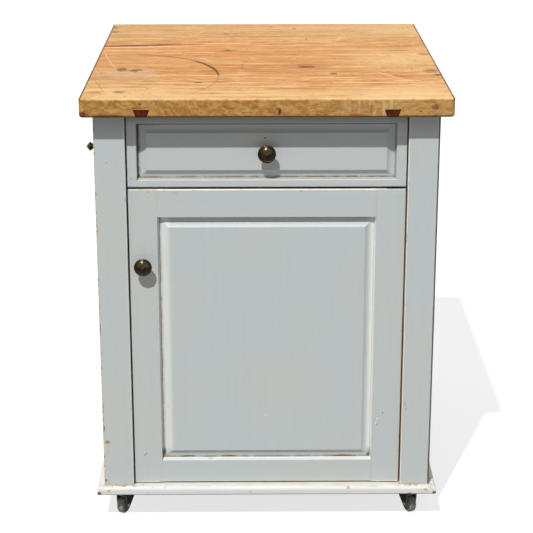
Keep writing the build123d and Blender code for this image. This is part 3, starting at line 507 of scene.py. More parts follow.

# %% [markdown]
# The edges take the light at a slant and dirt has settled in them, so they are olive brown
# and finely mottled. Towards the left end of the front edge the grain runs out at a slant,
# on the right something pale has run down, and the lower arris is painted dark as the shade
# where the round turns under.

# %% Worktop edges
slant = product(remap(axes[0], -0.06, -0.22), 0.42)
leaning = calc("ADD", axes[2], calc("MULTIPLY", calc("ADD", axes[0], axes[1]), slant))
edge_streaks = noise(combine(axes[0], axes[1], leaning), 330.0, 4.0, 0.65, (0.2, 0.2, 1.0))
edge_mottle = noise(point, 75.0, 5.0, 0.68, (1.0, 1.0, 1.5))
edge_fleck = noise(point, 380.0, 3.0, 0.7, (0.7, 0.7, 1.0))
runs = noise(point, 210.0, 2.0, 0.5, (1.0, 1.0, 0.12))
lower_arris = top_z - 0.0275
side_wood = tint(remap(edge_mottle, 0.36, 0.64), (199, 153, 87), (162, 110, 47))
side_wood = add_layers(side_wood, [
    (axes[0], -0.05, 0.25, 0.30, (203, 164, 106)),
    (edge_streaks, 0.50, 0.70, 0.75, (128, 78, 30)),
    (edge_streaks, 0.44, 0.30, 0.45, (224, 184, 118)),
    (edge_mottle, 0.56, 0.68, 0.45, (176, 134, 48)),
    (edge_fleck, 0.59, 0.70, 0.70, (92, 58, 26)),
])
washed = product(remap(runs, 0.5, 0.66), remap(axes[0], 0.10, 0.14), remap(axes[0], 0.24, 0.21))
side_wood = lay(side_wood, (224, 196, 150), washed, 0.45)
# Painted shade: the lowest few millimetres of the edges are laid dark brown, where the rounded arris turns
# under.
side_wood = add_layers(side_wood, [(axes[2], lower_arris, lower_arris - 0.0040, 0.75, (92, 54, 20))])
wood = tint(is_top, side_wood, wood)
print("edges laid, nodes so far:", len(bench.tree.nodes))

# %% [markdown]
# Knots, stains and spots lie where they are on the real worktop, first those on the top and
# then those on the front edge.

# %% Worktop knots and stains
dark_knot, rust, soot = (84, 34, 12), (164, 74, 26), (76, 60, 42)
slate, ink, haze = (96, 96, 88), (124, 134, 134), (216, 190, 160)
top_marks = [
    (0.0700, -0.0870, 0.052, 0.022, 0.6, 0.35, rust),
    (0.0760, -0.0905, 0.019, 0.008, 0.5, 0.90, dark_knot),
    (0.1218, -0.1491, 0.008, 0.008, 0.9, 0.80, dark_knot),
    (0.3020, -0.1300, 0.014, 0.024, 0.9, 0.50, soot),
    (0.3110, -0.1619, 0.010, 0.008, 0.6, 0.95, dark_knot),
    (-0.0724, 0.0662, 0.006, 0.008, 0.7, 0.80, dark_knot),
    (-0.0730, 0.0600, 0.020, 0.018, 0.9, 0.40, rust),
    (-0.0791, 0.2318, 0.008, 0.010, 0.8, 0.55, umber),
    (0.0145, 0.3141, 0.005, 0.009, 0.5, 0.70, ink),
    (0.0625, 0.2942, 0.004, 0.008, 0.5, 0.70, umber),
    (0.0838, 0.1807, 0.0026, 0.006, 0.4, 0.70, dark_knot),
    (-0.3120, 0.3056, 0.007, 0.012, 0.9, 0.80, slate),
    (-0.3090, 0.2604, 0.010, 0.011, 0.9, 0.75, slate),
    (-0.2490, -0.1500, 0.052, 0.042, 1.0, 0.22, haze),
    (0.2200, -0.2900, 0.130, 0.060, 1.0, 0.35, (222, 186, 128)),
    (-0.2645, -0.1130, 0.012, 0.016, 1.0, 0.80, soot),
    (-0.2390, -0.1190, 0.013, 0.014, 1.0, 0.75, soot),
    (-0.2558, -0.2962, 0.011, 0.010, 0.9, 0.60, soot),
    (-0.3000, -0.3034, 0.018, 0.013, 0.9, 0.50, umber),
    (-0.1212, -0.2221, 0.009, 0.005, 0.4, 0.90, soot),
    (0.2555, 0.0613, 0.024, 0.007, 0.8, 0.50, umber),
    (0.3060, 0.0267, 0.012, 0.012, 0.9, 0.50, soot),
]
front_edge = (front_y, 0.01)
edge_marks = [
    (0.0211, 0.7872, 0.0035, 0.0068, 0.8, 0.90, dark_knot),
    (0.0170, 0.7930, 0.0022, 0.0030, 0.8, 0.60, dark_knot),
    (0.1789, 0.7935, 0.0040, 0.0095, 0.9, 0.55, rust),
    (0.1494, 0.7812, 0.0090, 0.0042, 0.8, 0.85, rust),
    (0.0865, 0.7812, 0.0055, 0.0035, 0.8, 0.75, rust),
    (-0.0714, 0.7805, 0.0060, 0.0034, 0.8, 0.85, rust),
    (-0.2152, 0.8011, 0.0026, 0.0018, 0.5, 0.85, dark_knot),
    (0.2851, 0.7945, 0.0080, 0.0060, 1.0, 0.60, dark_knot),
    (0.2615, 0.7874, 0.0016, 0.0016, 0.2, 0.95, dark_knot),
    (0.2861, 0.7804, 0.0016, 0.0016, 0.2, 0.90, dark_knot),
    (-0.3150, 0.7815, 0.0120, 0.0060, 0.9, 0.85, dark_knot),
    (-0.2700, 0.7800, 0.0260, 0.0030, 0.9, 0.70, dark_knot),
]
worktop_marks = marks_on_top(top_marks) + marks_in_front([(front_edge, *mark) for mark in edge_marks])
wood = add_marks(point, wood, worktop_marks)
print("worktop marks:", len(worktop_marks))

# %% [markdown]
# A hot pan has left an arc: faint and red at its far end, scorched where the rim pressed,
# and faint again at the near end. Its strength is a mask on the bearing from its centre.

# %% Pan ring
ring_centre = (-0.2571, -0.1737, top_z)
ring_radius = 0.171
ring_flattening = 0.85
from_ring = vector_calc("MULTIPLY", vector_calc("SUBTRACT", point, ring_centre), (1.0, ring_flattening, 0.0))
ring_line = away_from(vector_calc("LENGTH", from_ring), ring_radius)
offset = split(from_ring)
bearing = calc("ARCTAN2", offset[1], offset[0])
far_part = product(remap(bearing, 0.72, 0.95), remap(bearing, 2.0, 1.5))
near_part = product(remap(bearing, 0.12, -0.05), remap(bearing, -0.95, -0.55))
scorched = product(remap(bearing, 0.0, 0.12), remap(bearing, 0.95, 0.72))
thickest = remap(away_from(bearing, 0.50), 0.34, 0.10, 0.0030, 0.0062)
wood = lay(wood, (168, 76, 30), remap(ring_line, 0.0050, 0.0015), far_part, is_top, 0.75)
wood = lay(wood, (140, 94, 60), remap(ring_line, 0.0024, 0.0008), near_part, is_top, 0.45)
wood = lay(wood, (84, 32, 18), remap(ring_line, thickest, 0.0010), scorched, is_top, 0.92)
print("pan ring radius:", ring_radius, "m")

# %% [markdown]
# A long crack runs in from the left edge, and cuts, seams and scratches lie across the top.
# A row gives the two ends as x, y, x, y, then the half width, the strength and the colour.

# %% Worktop cracks and scratches
pale_cut, brown_cut = (240, 214, 170), (140, 84, 44)
top_cuts = [
    (-0.345, 0.1065, -0.155, 0.1262, 0.0088, 1.0, (78, 36, 18)),
    (-0.215, 0.1210, -0.110, 0.1290, 0.0044, 0.75, (120, 66, 38)),
    (-0.335, 0.0925, -0.130, 0.1105, 0.0040, 0.60, pale_cut),
    (-0.170, 0.0370, 0.170, 0.0150, 0.0044, 0.65, (170, 96, 50)),
    (0.000, -0.0980, 0.135, -0.1015, 0.0036, 0.70, brown_cut),
    (-0.250, 0.0240, -0.140, -0.0120, 0.0040, 0.65, (176, 88, 40)),
    (-0.3150, 0.0600, -0.2660, -0.1640, 0.0009, 0.60, pale_cut),
    (-0.3090, -0.1900, -0.2790, -0.3060, 0.0012, 0.60, brown_cut),
    (-0.2980, -0.2100, -0.2900, -0.2700, 0.0010, 0.50, brown_cut),
    (-0.3000, -0.0200, -0.2450, -0.0500, 0.0012, 0.50, pale_cut),
    (-0.060, -0.190, -0.020, -0.300, 0.0007, 0.30, pale_cut),
    (0.020, 0.300, 0.110, 0.190, 0.0007, 0.30, pale_cut),
    (0.095, 0.290, 0.050, 0.130, 0.0007, 0.30, pale_cut),
    (0.190, -0.200, 0.290, -0.080, 0.0007, 0.30, pale_cut),
]
worktop_cuts = [((x1, y1, top_z), (x2, y2, top_z), *rest) for x1, y1, x2, y2, *rest in top_cuts]
worktop_cuts.append(((-0.250, front_y, 0.7905), (-0.190, front_y, 0.7965), 0.0012, 0.55, dark_knot))
wood = add_cuts(point, wood, worktop_cuts)
print("worktop cuts:", len(worktop_cuts))

# %% [markdown]
# Last come the rims. Hands and cloths have rubbed the front arris pale in an uneven line.
# Along the sides dirt has darkened it to a thin brown line, and the back rim is greyer.

# %% Worktop rims
ragged = noise(point, 70.0, 5.0, 0.7)
at_front = remap(axes[1], front_y + 0.0060, front_y + 0.0025)
front_rim = product(at_front, remap(axes[2], top_z - 0.0040, top_z - 0.0015))
at_sides = remap(across, half_width - 0.0050, half_width - 0.0024)
side_rim = product(at_sides, remap(axes[2], top_z - 0.0060, top_z - 0.0025))
back_rim = product(remap(axes[1], back_y - 0.0100, back_y - 0.0035), is_top)
wood = lay(wood, (232, 196, 138), front_rim, remap(ragged, 0.36, 0.56, 0.1, 0.75))
wood = lay(wood, (92, 50, 22), side_rim, remap(ragged, 0.32, 0.48, 0.5, 0.95))
wood = lay(wood, (140, 108, 74), back_rim, remap(ragged, 0.36, 0.56, 0.2, 0.7))
wood_height = calc("ADD", calc("MULTIPLY", threads, 0.6), calc("MULTIPLY", edge_fleck, 0.4))
finish_surface(shader, wood, remap(streaks, 0.3, 0.7, 0.58, 0.72), wood_height, ease=0.0012)
print("worktop finish:", len(bench.tree.nodes), "nodes")

# %% [markdown]
# The two dovetail keys under the worktop are a dark red-brown hardwood. Only their sawn ends
# show, with a black line of old glue along their top and their sloping sides.

# %% Dovetail key finish
key_top = 0.791
key_centre = 0.214
key_slope = 0.34
key_wood, shader, point = start_finish("dovetail key wood", specular=0.15)
axes = split(point)
grain = place_group(wood_fibres, Vector=point, Stretch=(14.0, 1.0, 14.0), Size=9.0)
wood = tint(remap(grain["Streaks"], 0.35, 0.65), (90, 36, 6), (64, 22, 2))
wood = add_layers(wood, [(grain["Fibres"], 0.5, 0.75, 0.6, (122, 60, 22))])
from_middle = away_from(absolute(axes[0]), key_centre)
lean = calc("MULTIPLY", calc("SUBTRACT", axes[2], key_top), key_slope)
at_side = remap(calc("SUBTRACT", from_middle, lean), 0.0126, 0.0136)
glue = either(remap(axes[2], key_top - 0.0022, key_top - 0.0010), at_side)
wood = lay(wood, (26, 12, 6), glue, 0.85)
finish_surface(shader, wood, remap(grain["Fibres"], 0.3, 0.7, 0.5, 0.7), grain["Fibres"], depth=0.0003)
print("key finish:", len(bench.tree.nodes), "nodes")

# %% [markdown]
# The paint is a pale blue-grey eggshell, brushed on by hand. It has faint brush lines along
# each piece, slightly warmer clouds, worn arrises where the undercoat shows white and the
# wood brown, and grime in the corners. One function makes it for pieces that were brushed
# upwards and for those brushed sideways. Its extra argument lets a piece add wear of its own.

# %% Paint
paint_tone, paint_warm = (193, 200, 199), (195, 200, 197)
undercoat = (232, 231, 222)
bare_tan = (178, 146, 104)
chip_brown = (116, 84, 46)
grime_brown = (84, 66, 42)
upright_brush = (1.0, 1.0, 0.05)
level_brush = (0.05, 1.0, 1.0)


def brushed_paint(name, stretch, tone=paint_tone, warm=paint_warm,
                  wear=0.42, grime=0.7, marks=(), extra=None):
    """Hand-brushed paint on wood. stretch draws the brush lines out along the piece."""
    material, shader, point = start_finish(name, specular=0.35)
    brush = noise(point, 110.0, 4.0, 0.6, stretch)
    clouds = noise(point, 6.0, 3.0, 0.5)
    stipple = noise(point, 420.0, 2.0, 0.6)
    color = tint(remap(clouds, 0.42, 0.66), tone, warm)
    color = add_layers(color, [
        (brush, 0.40, 0.70, 0.08, (172, 178, 178)),
        (stipple, 0.45, 0.30, 0.18, (206, 210, 208)),
    ])
    specks = noise(point, 260.0, 2.0, 0.5)
    patch = noise(point, 9.0, 2.0, 0.5)
    color = lay(color, chip_brown, remap(specks, 0.765, 0.790), remap(patch, 0.5, 0.66), 0.55)
    rubbed = mask_of(worn_edge, point, Width=0.0022, Wear=wear + 0.34, Patches=34.0)
    color = lay(color, undercoat, rubbed, 0.8)
    chipped = mask_of(worn_edge, point, Width=0.0018, Wear=wear - 0.25, Patches=75.0)
    color = lay(color, bare_tan, chipped, 0.85)
    dirt = mask_of(corner_grime, point, Reach=0.004, Patches=45.0)
    color = lay(color, grime_brown, dirt, grime)
    color = add_marks(point, color, marks)
    if extra is not None:
        color = extra(point, color)
    height = calc("SUBTRACT", calc("MULTIPLY", brush, 0.22), chipped)
    height = calc("ADD", height, calc("MULTIPLY", stipple, 0.12))
    finish_surface(shader, color, remap(brush, 0.3, 0.7, 0.44, 0.56), height, depth=0.0003, ease=0.0010)
    return material


print("paint tone:", paint_tone, "undercoat:", undercoat)

# %% [markdown]
# The posts' arrises tell how the cabinet was used. The right one has a thin dark line of
# painted shade along its outer arris. The left one is rubbed to tan and cream specks, thickest
# low down. The inner arrises beside the door are white, partly worn and partly painted
# highlight, and the right post is bare where the door's edge rubs it. Just under the worktop
# the fronts carry a band of painted shade, and deep in the narrow gaps the painted shade is
# almost black.

# %% Post wear and painted light
post_half = 0.300
inner_face = 0.246
post_front = -0.320


def post_arrises(point, color):
    """Adds the posts' own wear, painted highlight and painted shade by side and height."""
    x, y, z = split(point)
    facing = facing_on_piece()
    far_out = absolute(x)
    on_right, on_left = remap(x, -0.01, 0.01), remap(x, 0.01, -0.01)
    front = remap(y, post_front + 0.0034, post_front + 0.0014)
    ragged = noise(point, 110.0, 5.0, 0.7, (1.0, 1.0, 0.4))

    # Painted shade: the right post's outer arris gets a thin dark olive line where its rounding turns away
    # from the lamp.
    outer = product(remap(far_out, post_half - 0.0040, post_half - 0.0022), front)
    shaded_outer_arris = remap(calc("ADD", calc("MULTIPLY", outer, 0.9), ragged), 0.94, 1.06)
    color = lay(color, (84, 72, 46), shaded_outer_arris, on_right, 0.92)
    wide = product(remap(far_out, post_half - 0.0046, post_half - 0.0014), front)
    speckled = remap(calc("ADD", calc("MULTIPLY", wide, 0.6), ragged), 0.90, 1.08)
    color = lay(color, (206, 190, 158), speckled, on_left, 0.8)
    dots = remap(noise(point, 190.0, 3.0, 0.6, (1.0, 1.0, 0.6)), 0.53, 0.60)
    color = lay(color, (122, 92, 54), speckled, dots, on_left, 0.85)

    # The white inner arrises beside the door are partly worn paint and partly painted highlight; the tan
    # specks are wear.
    at_inner_face = remap(far_out, inner_face + 0.0022, inner_face + 0.0012)
    inner = product(at_inner_face, remap(y, post_front + 0.0030, post_front + 0.0012))
    color = lay(color, undercoat, inner, remap(ragged, 0.30, 0.46, 0.5, 1.0), 0.9)
    color = lay(color, (176, 146, 104), inner, remap(ragged, 0.56, 0.64), 0.7)

    below_door_top = remap(z, 0.642, 0.638)
    cheek = product(remap(facing[0], -0.80, -0.95), on_right, below_door_top, remap(y, -0.285, -0.295))
    streak = noise(point, 40.0, 4.0, 0.6, (1.0, 1.0, 0.12))
    bare_wood = tint(streak, (196, 160, 116), (150, 112, 70))
    color = lay(color, bare_wood, cheek, remap(streak, 0.34, 0.52, 0.55, 1.0))
    # Painted shade: the post fronts are darkened a little just under the worktop.
    painted_shade_under_top = product(remap(z, 0.735, 0.765), remap(absolute(facing[1]), 0.5, 0.7))
    color = lay(color, (120, 118, 106), painted_shade_under_top, 0.18)
    color = lay(color, (190, 160, 116), remap(z, 0.0745, 0.0715), remap(ragged, 0.44, 0.56), 0.6)
    # Painted shade: the post faces inside the narrow gaps are laid almost black, except on the right post
    # beside the door, which the lamp reaches.
    in_gap = product(remap(y, -0.3105, -0.3080), remap(y, -0.270, -0.280))
    gap = product(remap(far_out, inner_face + 0.0012, inner_face + 0.0004), in_gap)
    return lay(color, (36, 30, 22), gap, inverse(product(on_right, below_door_top)), 0.92)


post_plane = (post_front, 0.01)
post_marks = [
    (-0.2985, 0.150, 0.006, 0.012, 1.0, 0.80, (216, 204, 176)),
    (-0.2920, 0.158, 0.005, 0.004, 1.0, 0.80, (150, 116, 70)),
    (-0.2930, 0.140, 0.004, 0.011, 1.0, 0.55, (206, 188, 156)),
    (-0.2990, 0.187, 0.0036, 0.006, 0.8, 0.85, chip_brown),
    (-0.2995, 0.228, 0.003, 0.006, 0.8, 0.80, chip_brown),
    (-0.2978, 0.0806, 0.0028, 0.0028, 0.6, 0.85, (74, 52, 30)),
    (0.2994, 0.1200, 0.0040, 0.0035, 0.8, 0.85, (170, 120, 66)),
    (0.2990, 0.4930, 0.0030, 0.0050, 0.8, 0.85, (206, 186, 150)),
    (0.2515, 0.2329, 0.0012, 0.0036, 0.6, 0.60, (150, 132, 106)),
    (0.2538, 0.2222, 0.0016, 0.0022, 0.6, 0.55, (160, 142, 116)),
    (-0.2780, 0.6900, 0.0016, 0.0016, 0.4, 0.45, (110, 106, 94)),
]
post_marks = marks_in_front([(post_plane, *mark) for mark in post_marks])
paint_posts = brushed_paint("brushed paint, posts", upright_brush, marks=post_marks, extra=post_arrises)
paint_upright = brushed_paint("brushed paint, upright", upright_brush)
paint_level = brushed_paint("brushed paint, level", level_brush)
print("post marks:", len(post_marks))

# %% [markdown]
# The door and the drawer front have narrow bevelled arrises, white almost all the way round,
# partly worn and partly painted highlight, with tan chips along the door's top. Their edge
# faces are painted dark as the shade in the gaps, and the drawer front's top carries painted
# shade from the worktop.

# %% Door and drawer edges
face_y = -0.311
leaf_half = 0.244
arris = 0.0015
very_edge = 0.0004
door_low, door_high = 0.0723, 0.6387
drawer_low, drawer_high = 0.6427, 0.7700


def near(value, edge, inward, width):
    """A mask that is 1 at an edge and fades over a width inward (1 up, -1 down)."""
    return remap(value, edge + inward * width * 1.35, edge + inward * width * 0.85)


def leaf_arrises(point, color):
    """Rubs the outer arrises of the door and the drawer front, with painted highlight on them and painted
    shade under the worktop and on the edge faces.
    """
    x, y, z = split(point)
    far_out = absolute(x)
    is_door = remap(z, 0.6410, 0.6400)
    is_drawer = inverse(is_door)
    # The white arris line is partly worn paint and partly painted highlight; the tan chips laid over it are
    # wear.
    door_rim = product(either(near(z, door_low, 1, arris), near(z, door_high, -1, arris)), is_door)
    drawer_rim = product(either(near(z, drawer_low, 1, arris), near(z, drawer_high, -1, arris)), is_drawer)
    rim = either(near(far_out, leaf_half, -1, arris), door_rim, drawer_rim)
    ragged = noise(point, 60.0, 5.0, 0.68)
    color = lay(color, undercoat, rim, remap(ragged, 0.32, 0.48, 0.45, 0.95))
    color = lay(color, (186, 152, 108), rim, remap(ragged, 0.60, 0.67), 0.6)

    front_or_back = absolute(facing_on_piece()[1])
    # Painted shade: the top of the drawer front is darkened where the worktop overhangs it.
    painted_shade_under_top = product(remap(z, 0.750, 0.772), remap(front_or_back, 0.5, 0.7), remap(y, -0.300, -0.305))
    color = lay(color, (120, 118, 106), painted_shade_under_top, 0.62)
    # Painted shade: the door's and drawer front's edge faces, inside the gaps, are laid nearly black.
    ends = either(near(z, door_low, 1, very_edge), near(z, door_high, -1, very_edge))
    edge_face = product(either(ends, near(far_out, leaf_half, -1, very_edge)), remap(front_or_back, 0.5, 0.3))
    return lay(color, (40, 34, 26), edge_face, remap(y, face_y + 0.0016, face_y + 0.0030), 0.9)


print("door from", door_low, "to", door_high, "m, drawer front from", drawer_low, "to", drawer_high, "m")

# %% [markdown]
# The sloped sight edges round the panel are painted paler where they face up or to the left,
# towards the lamp, as painted highlight with tan chips of wear, and darker where they face
# right, as painted shade. The hollows at both sides are painted near white as highlight. Dark
# wax lies in the groove along the foot and in the left corner. The drawer front has the same
# hollow, and a hair line shows where the door's stiles and rails meet.

# %% Door and drawer wear and painted light
groove_y = -0.302
joint_x = 0.1932


def sight_edge_wear_and_shading(point, color):
    """Adds the wear, the wax, painted highlight and painted shade round the door's panel and in the drawer
    front's sunk border.
    """
    color = leaf_arrises(point, color)
    x, y, z = split(point)
    far_out = absolute(x)
    facing = facing_on_piece()
    ragged = noise(point, 52.0, 5.0, 0.68)
    deep = remap(y, face_y + 0.0008, face_y + 0.0022)
    # Painted highlight: sight-edge slopes that face up or to the left, towards the lamp, are laid paler; the
    # tan chips on them are wear.
    rubbed = product(either(remap(facing[2], 0.80, 0.90), remap(facing[0], -0.80, -0.90)), deep)
    color = lay(color, (222, 222, 213), rubbed, 0.45)
    color = lay(color, (192, 158, 108), rubbed, remap(ragged, 0.59, 0.67), 0.6)
    # Painted shade: slopes that face right, away from the lamp, are laid darker.
    color = lay(color, (92, 90, 82), remap(facing[0], 0.80, 0.90), deep, 0.6)

    front_part = remap(y, groove_y + 0.0040, groove_y + 0.0010)
    groove = product(remap(y, groove_y - 0.0010, groove_y - 0.0002), front_part)
    drawer_foot = product(remap(z, 0.668, 0.660), remap(z, 0.641, 0.643))
    waxed = either(remap(z, 0.140, 0.126), drawer_foot, remap(x, -0.1840, -0.1875))
    color = lay(color, (112, 84, 52), groove, waxed, remap(ragged, 0.40, 0.55, 0.25, 0.95))

    hollow_from, hollow_to = remap(x, -0.1, 0.1, 0.168, 0.176), remap(x, -0.1, 0.1, 0.178, 0.190)
    beside = product(remap(far_out, hollow_from, hollow_to), deep, front_part)
    beside = product(beside, remap(z, 0.130, 0.142), remap(z, 0.642, 0.640))
    # Painted highlight: the hollows beside the panel are laid near white, except where the groove is waxed.
    painted_hollow_highlight = product(beside, inverse(product(groove, waxed)))
    color = lay(color, (236, 236, 230), painted_hollow_highlight, remap(x, -0.1, 0.1, 0.55, 0.8))
    joint = remap(away_from(far_out, joint_x), 0.0007, 0.0002)
    on_rails = either(remap(z, 0.586, 0.588), remap(z, 0.117, 0.115))
    return lay(color, (140, 142, 138), joint, on_rails, remap(z, 0.641, 0.640), 0.15)


dull_dent = (136, 132, 118)
face, groove = (face_y, 0.006), (groove_y, 0.012)
field, slope = (face_y + 0.0025, 0.006), (face_y + 0.005, 0.010)
front_marks = marks_in_front([
    (field, -0.0030, 0.7309, 0.0017, 0.0017, 0.2, 0.9, (52, 50, 46)),
    (groove, -0.2240, 0.6598, 0.0040, 0.0050, 0.6, 0.9, (36, 28, 20)),
    (groove, -0.2140, 0.6590, 0.0090, 0.0040, 0.7, 0.8, (226, 206, 166)),
    (face, -0.2369, 0.6588, 0.0022, 0.0018, 0.7, 0.5, (170, 140, 100)),
    (groove, -0.1425, 0.1212, 0.0140, 0.0020, 0.6, 0.90, (140, 92, 44)),
    (groove, -0.0720, 0.1212, 0.0170, 0.0020, 0.6, 0.90, (140, 92, 44)),
    (groove, 0.1390, 0.1212, 0.0210, 0.0020, 0.6, 0.90, (140, 92, 44)),
    (groove, 0.1870, 0.1232, 0.0036, 0.0040, 0.5, 0.90, (150, 92, 36)),
    (groove, -0.1890, 0.1300, 0.0030, 0.0100, 0.7, 0.90, (48, 34, 20)),
    (groove, -0.1850, 0.1215, 0.0060, 0.0030, 0.7, 0.85, (196, 150, 92)),
    (slope, -0.1815, 0.2223, 0.0024, 0.0024, 0.7, 0.75, (156, 124, 80)),
    (groove, 0.1900, 0.2180, 0.0022, 0.0260, 0.8, 0.75, (186, 140, 86)),
    (face, -0.2245, 0.1280, 0.0030, 0.0020, 0.6, 0.60, dull_dent),
    (face, -0.2215, 0.1310, 0.0016, 0.0020, 0.4, 0.60, dull_dent),
    (face, 0.2123, 0.2110, 0.0016, 0.0024, 0.5, 0.70, (120, 116, 100)),
    (face, 0.2004, 0.1896, 0.0016, 0.0030, 0.5, 0.85, (236, 236, 228)),
    (face, 0.2016, 0.1880, 0.0014, 0.0016, 0.5, 0.80, (96, 84, 64)),
    (face, 0.2023, 0.1988, 0.0014, 0.0020, 0.5, 0.80, (232, 232, 224)),
    (face, -0.2075, 0.6333, 0.0040, 0.0022, 0.9, 0.50, (190, 160, 122)),
    (face, -0.1607, 0.6318, 0.0070, 0.0020, 0.9, 0.55, (196, 168, 132)),
    (face, -0.1799, 0.6377, 0.0050, 0.0022, 0.8, 0.80, (206, 150, 104)),
    (face, -0.1271, 0.6376, 0.0040, 0.0022, 0.8, 0.75, (206, 150, 104)),
    (face, 0.0602, 0.6360, 0.0040, 0.0022, 0.8, 0.60, (196, 156, 112)),
    (face, 0.1682, 0.6375, 0.0060, 0.0022, 0.8, 0.65, (200, 168, 124)),
    (field, -0.0020, 0.2060, 0.0016, 0.0016, 0.4, 0.80, (232, 232, 226)),
])
front_wear_and_shading = {"wear": 0.30, "grime": 0.8, "marks": front_marks, "extra": sight_edge_wear_and_shading}
paint_front_upright = brushed_paint("brushed paint, door upright", upright_brush, **front_wear_and_shading)
paint_front_level = brushed_paint("brushed paint, door level", level_brush, **front_wear_and_shading)
print("door and drawer marks:", len(front_marks))

# %% [markdown]
# The base board has a whiter coat, and it has been knocked by feet and mops. Its top is
# creamy with wavy tan stains, and its upward faces are toned greyer as painted shade that
# holds back the lamp's steep light. Brown specks follow the posts' feet, and the corners are
# chipped to the wood. A grey line of painted shade runs along its lower edge, where the round
# turns under. The planes of its marks follow its rounded edge, so each row says how far
# behind its front the mark lies.

# %% Base board finish
base_front = -0.328
foot_inside, foot_outside = 0.241, 0.303


def base_wear_and_shading(point, color):
    """Adds stains on the top, painted shade on the upward faces, specks at the posts' feet and a dark lower
    edge of painted shade.
    """
    x, y, z = split(point)
    far_out = absolute(x)
    upward = remap(facing_on_piece()[2], 0.3, 0.8)
    wavy = noise(point, 46.0, 4.0, 0.62, (0.45, 1.3, 1.0))
    behind_edge = remap(y, base_front + 0.001, base_front + 0.006)
    color = lay(color, (196, 172, 130), upward, remap(wavy, 0.50, 0.60), behind_edge, 0.38)
    color = lay(color, (206, 196, 168), upward, remap(y, base_front + 0.003, base_front + 0.009), 0.22)
    # Painted shade: every upward face is toned greyer, to hold back the brighter light it gets from the high
    # lamp.
    color = lay(color, (200, 198, 190), upward, 0.45)
    past_inside = remap(far_out, foot_inside - 0.005, foot_inside + 0.005)
    at_foot = product(past_inside, remap(far_out, foot_outside + 0.003, foot_outside - 0.003), upward)
    specks = remap(noise(point, 150.0, 4.0, 0.65), 0.53, 0.60)
    foot_specks = product(at_foot, specks, remap(y, base_front + 0.0015, base_front + 0.0060))
    color = lay(color, (166, 122, 66), foot_specks, 0.85)
    # Painted shade: a grey line along the board's lower edge, where the round turns under.
    return lay(color, (118, 120, 116), remap(z, 0.0565, 0.0545), 0.7)


base_chip, base_stain = (136, 98, 50), (180, 146, 96)
base_marks = [
    ((0.003, 0.010), -0.3110, 0.0580, 0.0060, 0.0036, 0.9, 0.95, (92, 66, 34)),
    ((0.003, 0.010), 0.3110, 0.0570, 0.0055, 0.0036, 0.9, 0.95, (92, 66, 34)),
    ((0.001, 0.010), -0.2918, 0.0625, 0.0034, 0.0026, 1.0, 0.75, base_stain),
    ((0.011, 0.0050), -0.2293, 0.0700, 0.0022, 0.0040, 1.0, 0.80, base_chip),
    ((0.001, 0.0040), -0.2106, 0.0695, 0.0022, 0.0014, 1.0, 0.75, base_chip),
    ((0.0, 0.0060), -0.1884, 0.0680, 0.0018, 0.0020, 1.0, 0.65, base_stain),
    ((0.0, 0.0060), -0.2199, 0.0588, 0.0022, 0.0012, 1.0, 0.50, base_stain),
    ((0.0, 0.0060), -0.2526, 0.0650, 0.0020, 0.0020, 1.0, 0.40, (160, 158, 150)),
    ((0.0, 0.006), -0.0300, 0.0600, 0.0024, 0.0020, 0.8, 0.55, base_stain),
    ((0.002, 0.006), 0.1506, 0.0678, 0.0040, 0.0030, 0.9, 0.70, base_chip),
    ((0.002, 0.006), 0.1950, 0.0688, 0.0130, 0.0014, 1.0, 0.50, base_stain),
    ((0.0, 0.006), 0.2643, 0.0556, 0.0040, 0.0022, 0.9, 0.80, base_chip),
    ((0.001, 0.008), 0.2939, 0.0632, 0.0050, 0.0030, 1.0, 0.65, base_stain),
    ((0.004, 0.008), 0.3030, 0.0680, 0.0060, 0.0040, 1.0, 0.60, base_stain),
]
base_marks = marks_in_front([((base_front + behind, reach), *mark) for (behind, reach), *mark in base_marks])
white_base_paint = brushed_paint(
    "white base paint", level_brush, tone=(221, 222, 219), warm=(222, 221, 215),
    wear=0.26, grime=0.5, marks=base_marks, extra=base_wear_and_shading,
)
print("base marks:", len(base_marks))

# %% [markdown]
# Inside, the shelf, runners and drawer box are bare planed pine: pale, with straight brown
# lines and the odd small knot.

# %% Bare pine
def bare_pine(name, stretch):
    """Unfinished softwood with its grain drawn out along the piece."""
    material, shader, point = start_finish(name, specular=0.25)
    grain = place_group(wood_fibres, Vector=point, Stretch=stretch, Size=6.0)
    color = tint(remap(grain["Streaks"], 0.4, 0.62), (224, 190, 138), (202, 156, 98))
    color = add_layers(color, [(grain["Fibres"], 0.5, 0.75, 0.4, (176, 126, 72))])
    color = lay(color, (140, 94, 52), grain["Pores"], 0.3)
    wide = vector_calc("MULTIPLY", point, (2.6, 2.6, 2.6))
    knots = add_node("ShaderNodeTexVoronoi", {"Vector": wide, "Scale": 3.0}).outputs["Distance"]
    color = add_layers(color, [(knots, 0.085, 0.05, 0.7, (126, 76, 38))])
    soiled = mask_of(corner_grime, point, Reach=0.012, Patches=30.0)
    color = lay(color, (112, 84, 54), soiled, 0.5)
    finish_surface(shader, color, remap(grain["Fibres"], 0.3, 0.7, 0.55, 0.7), grain["Fibres"], depth=0.0003)
    return material


pine_across = bare_pine("bare pine, side to side", (1.0, 14.0, 14.0))
pine_along = bare_pine("bare pine, front to back", (14.0, 1.0, 14.0))
print("pine finishes:", pine_across.name, "and", pine_along.name)

# %% [markdown]
# The knobs and the peg are turned brass that has gone nearly black, rubbed back to metal on
# the rims and the crown where fingers touch them.

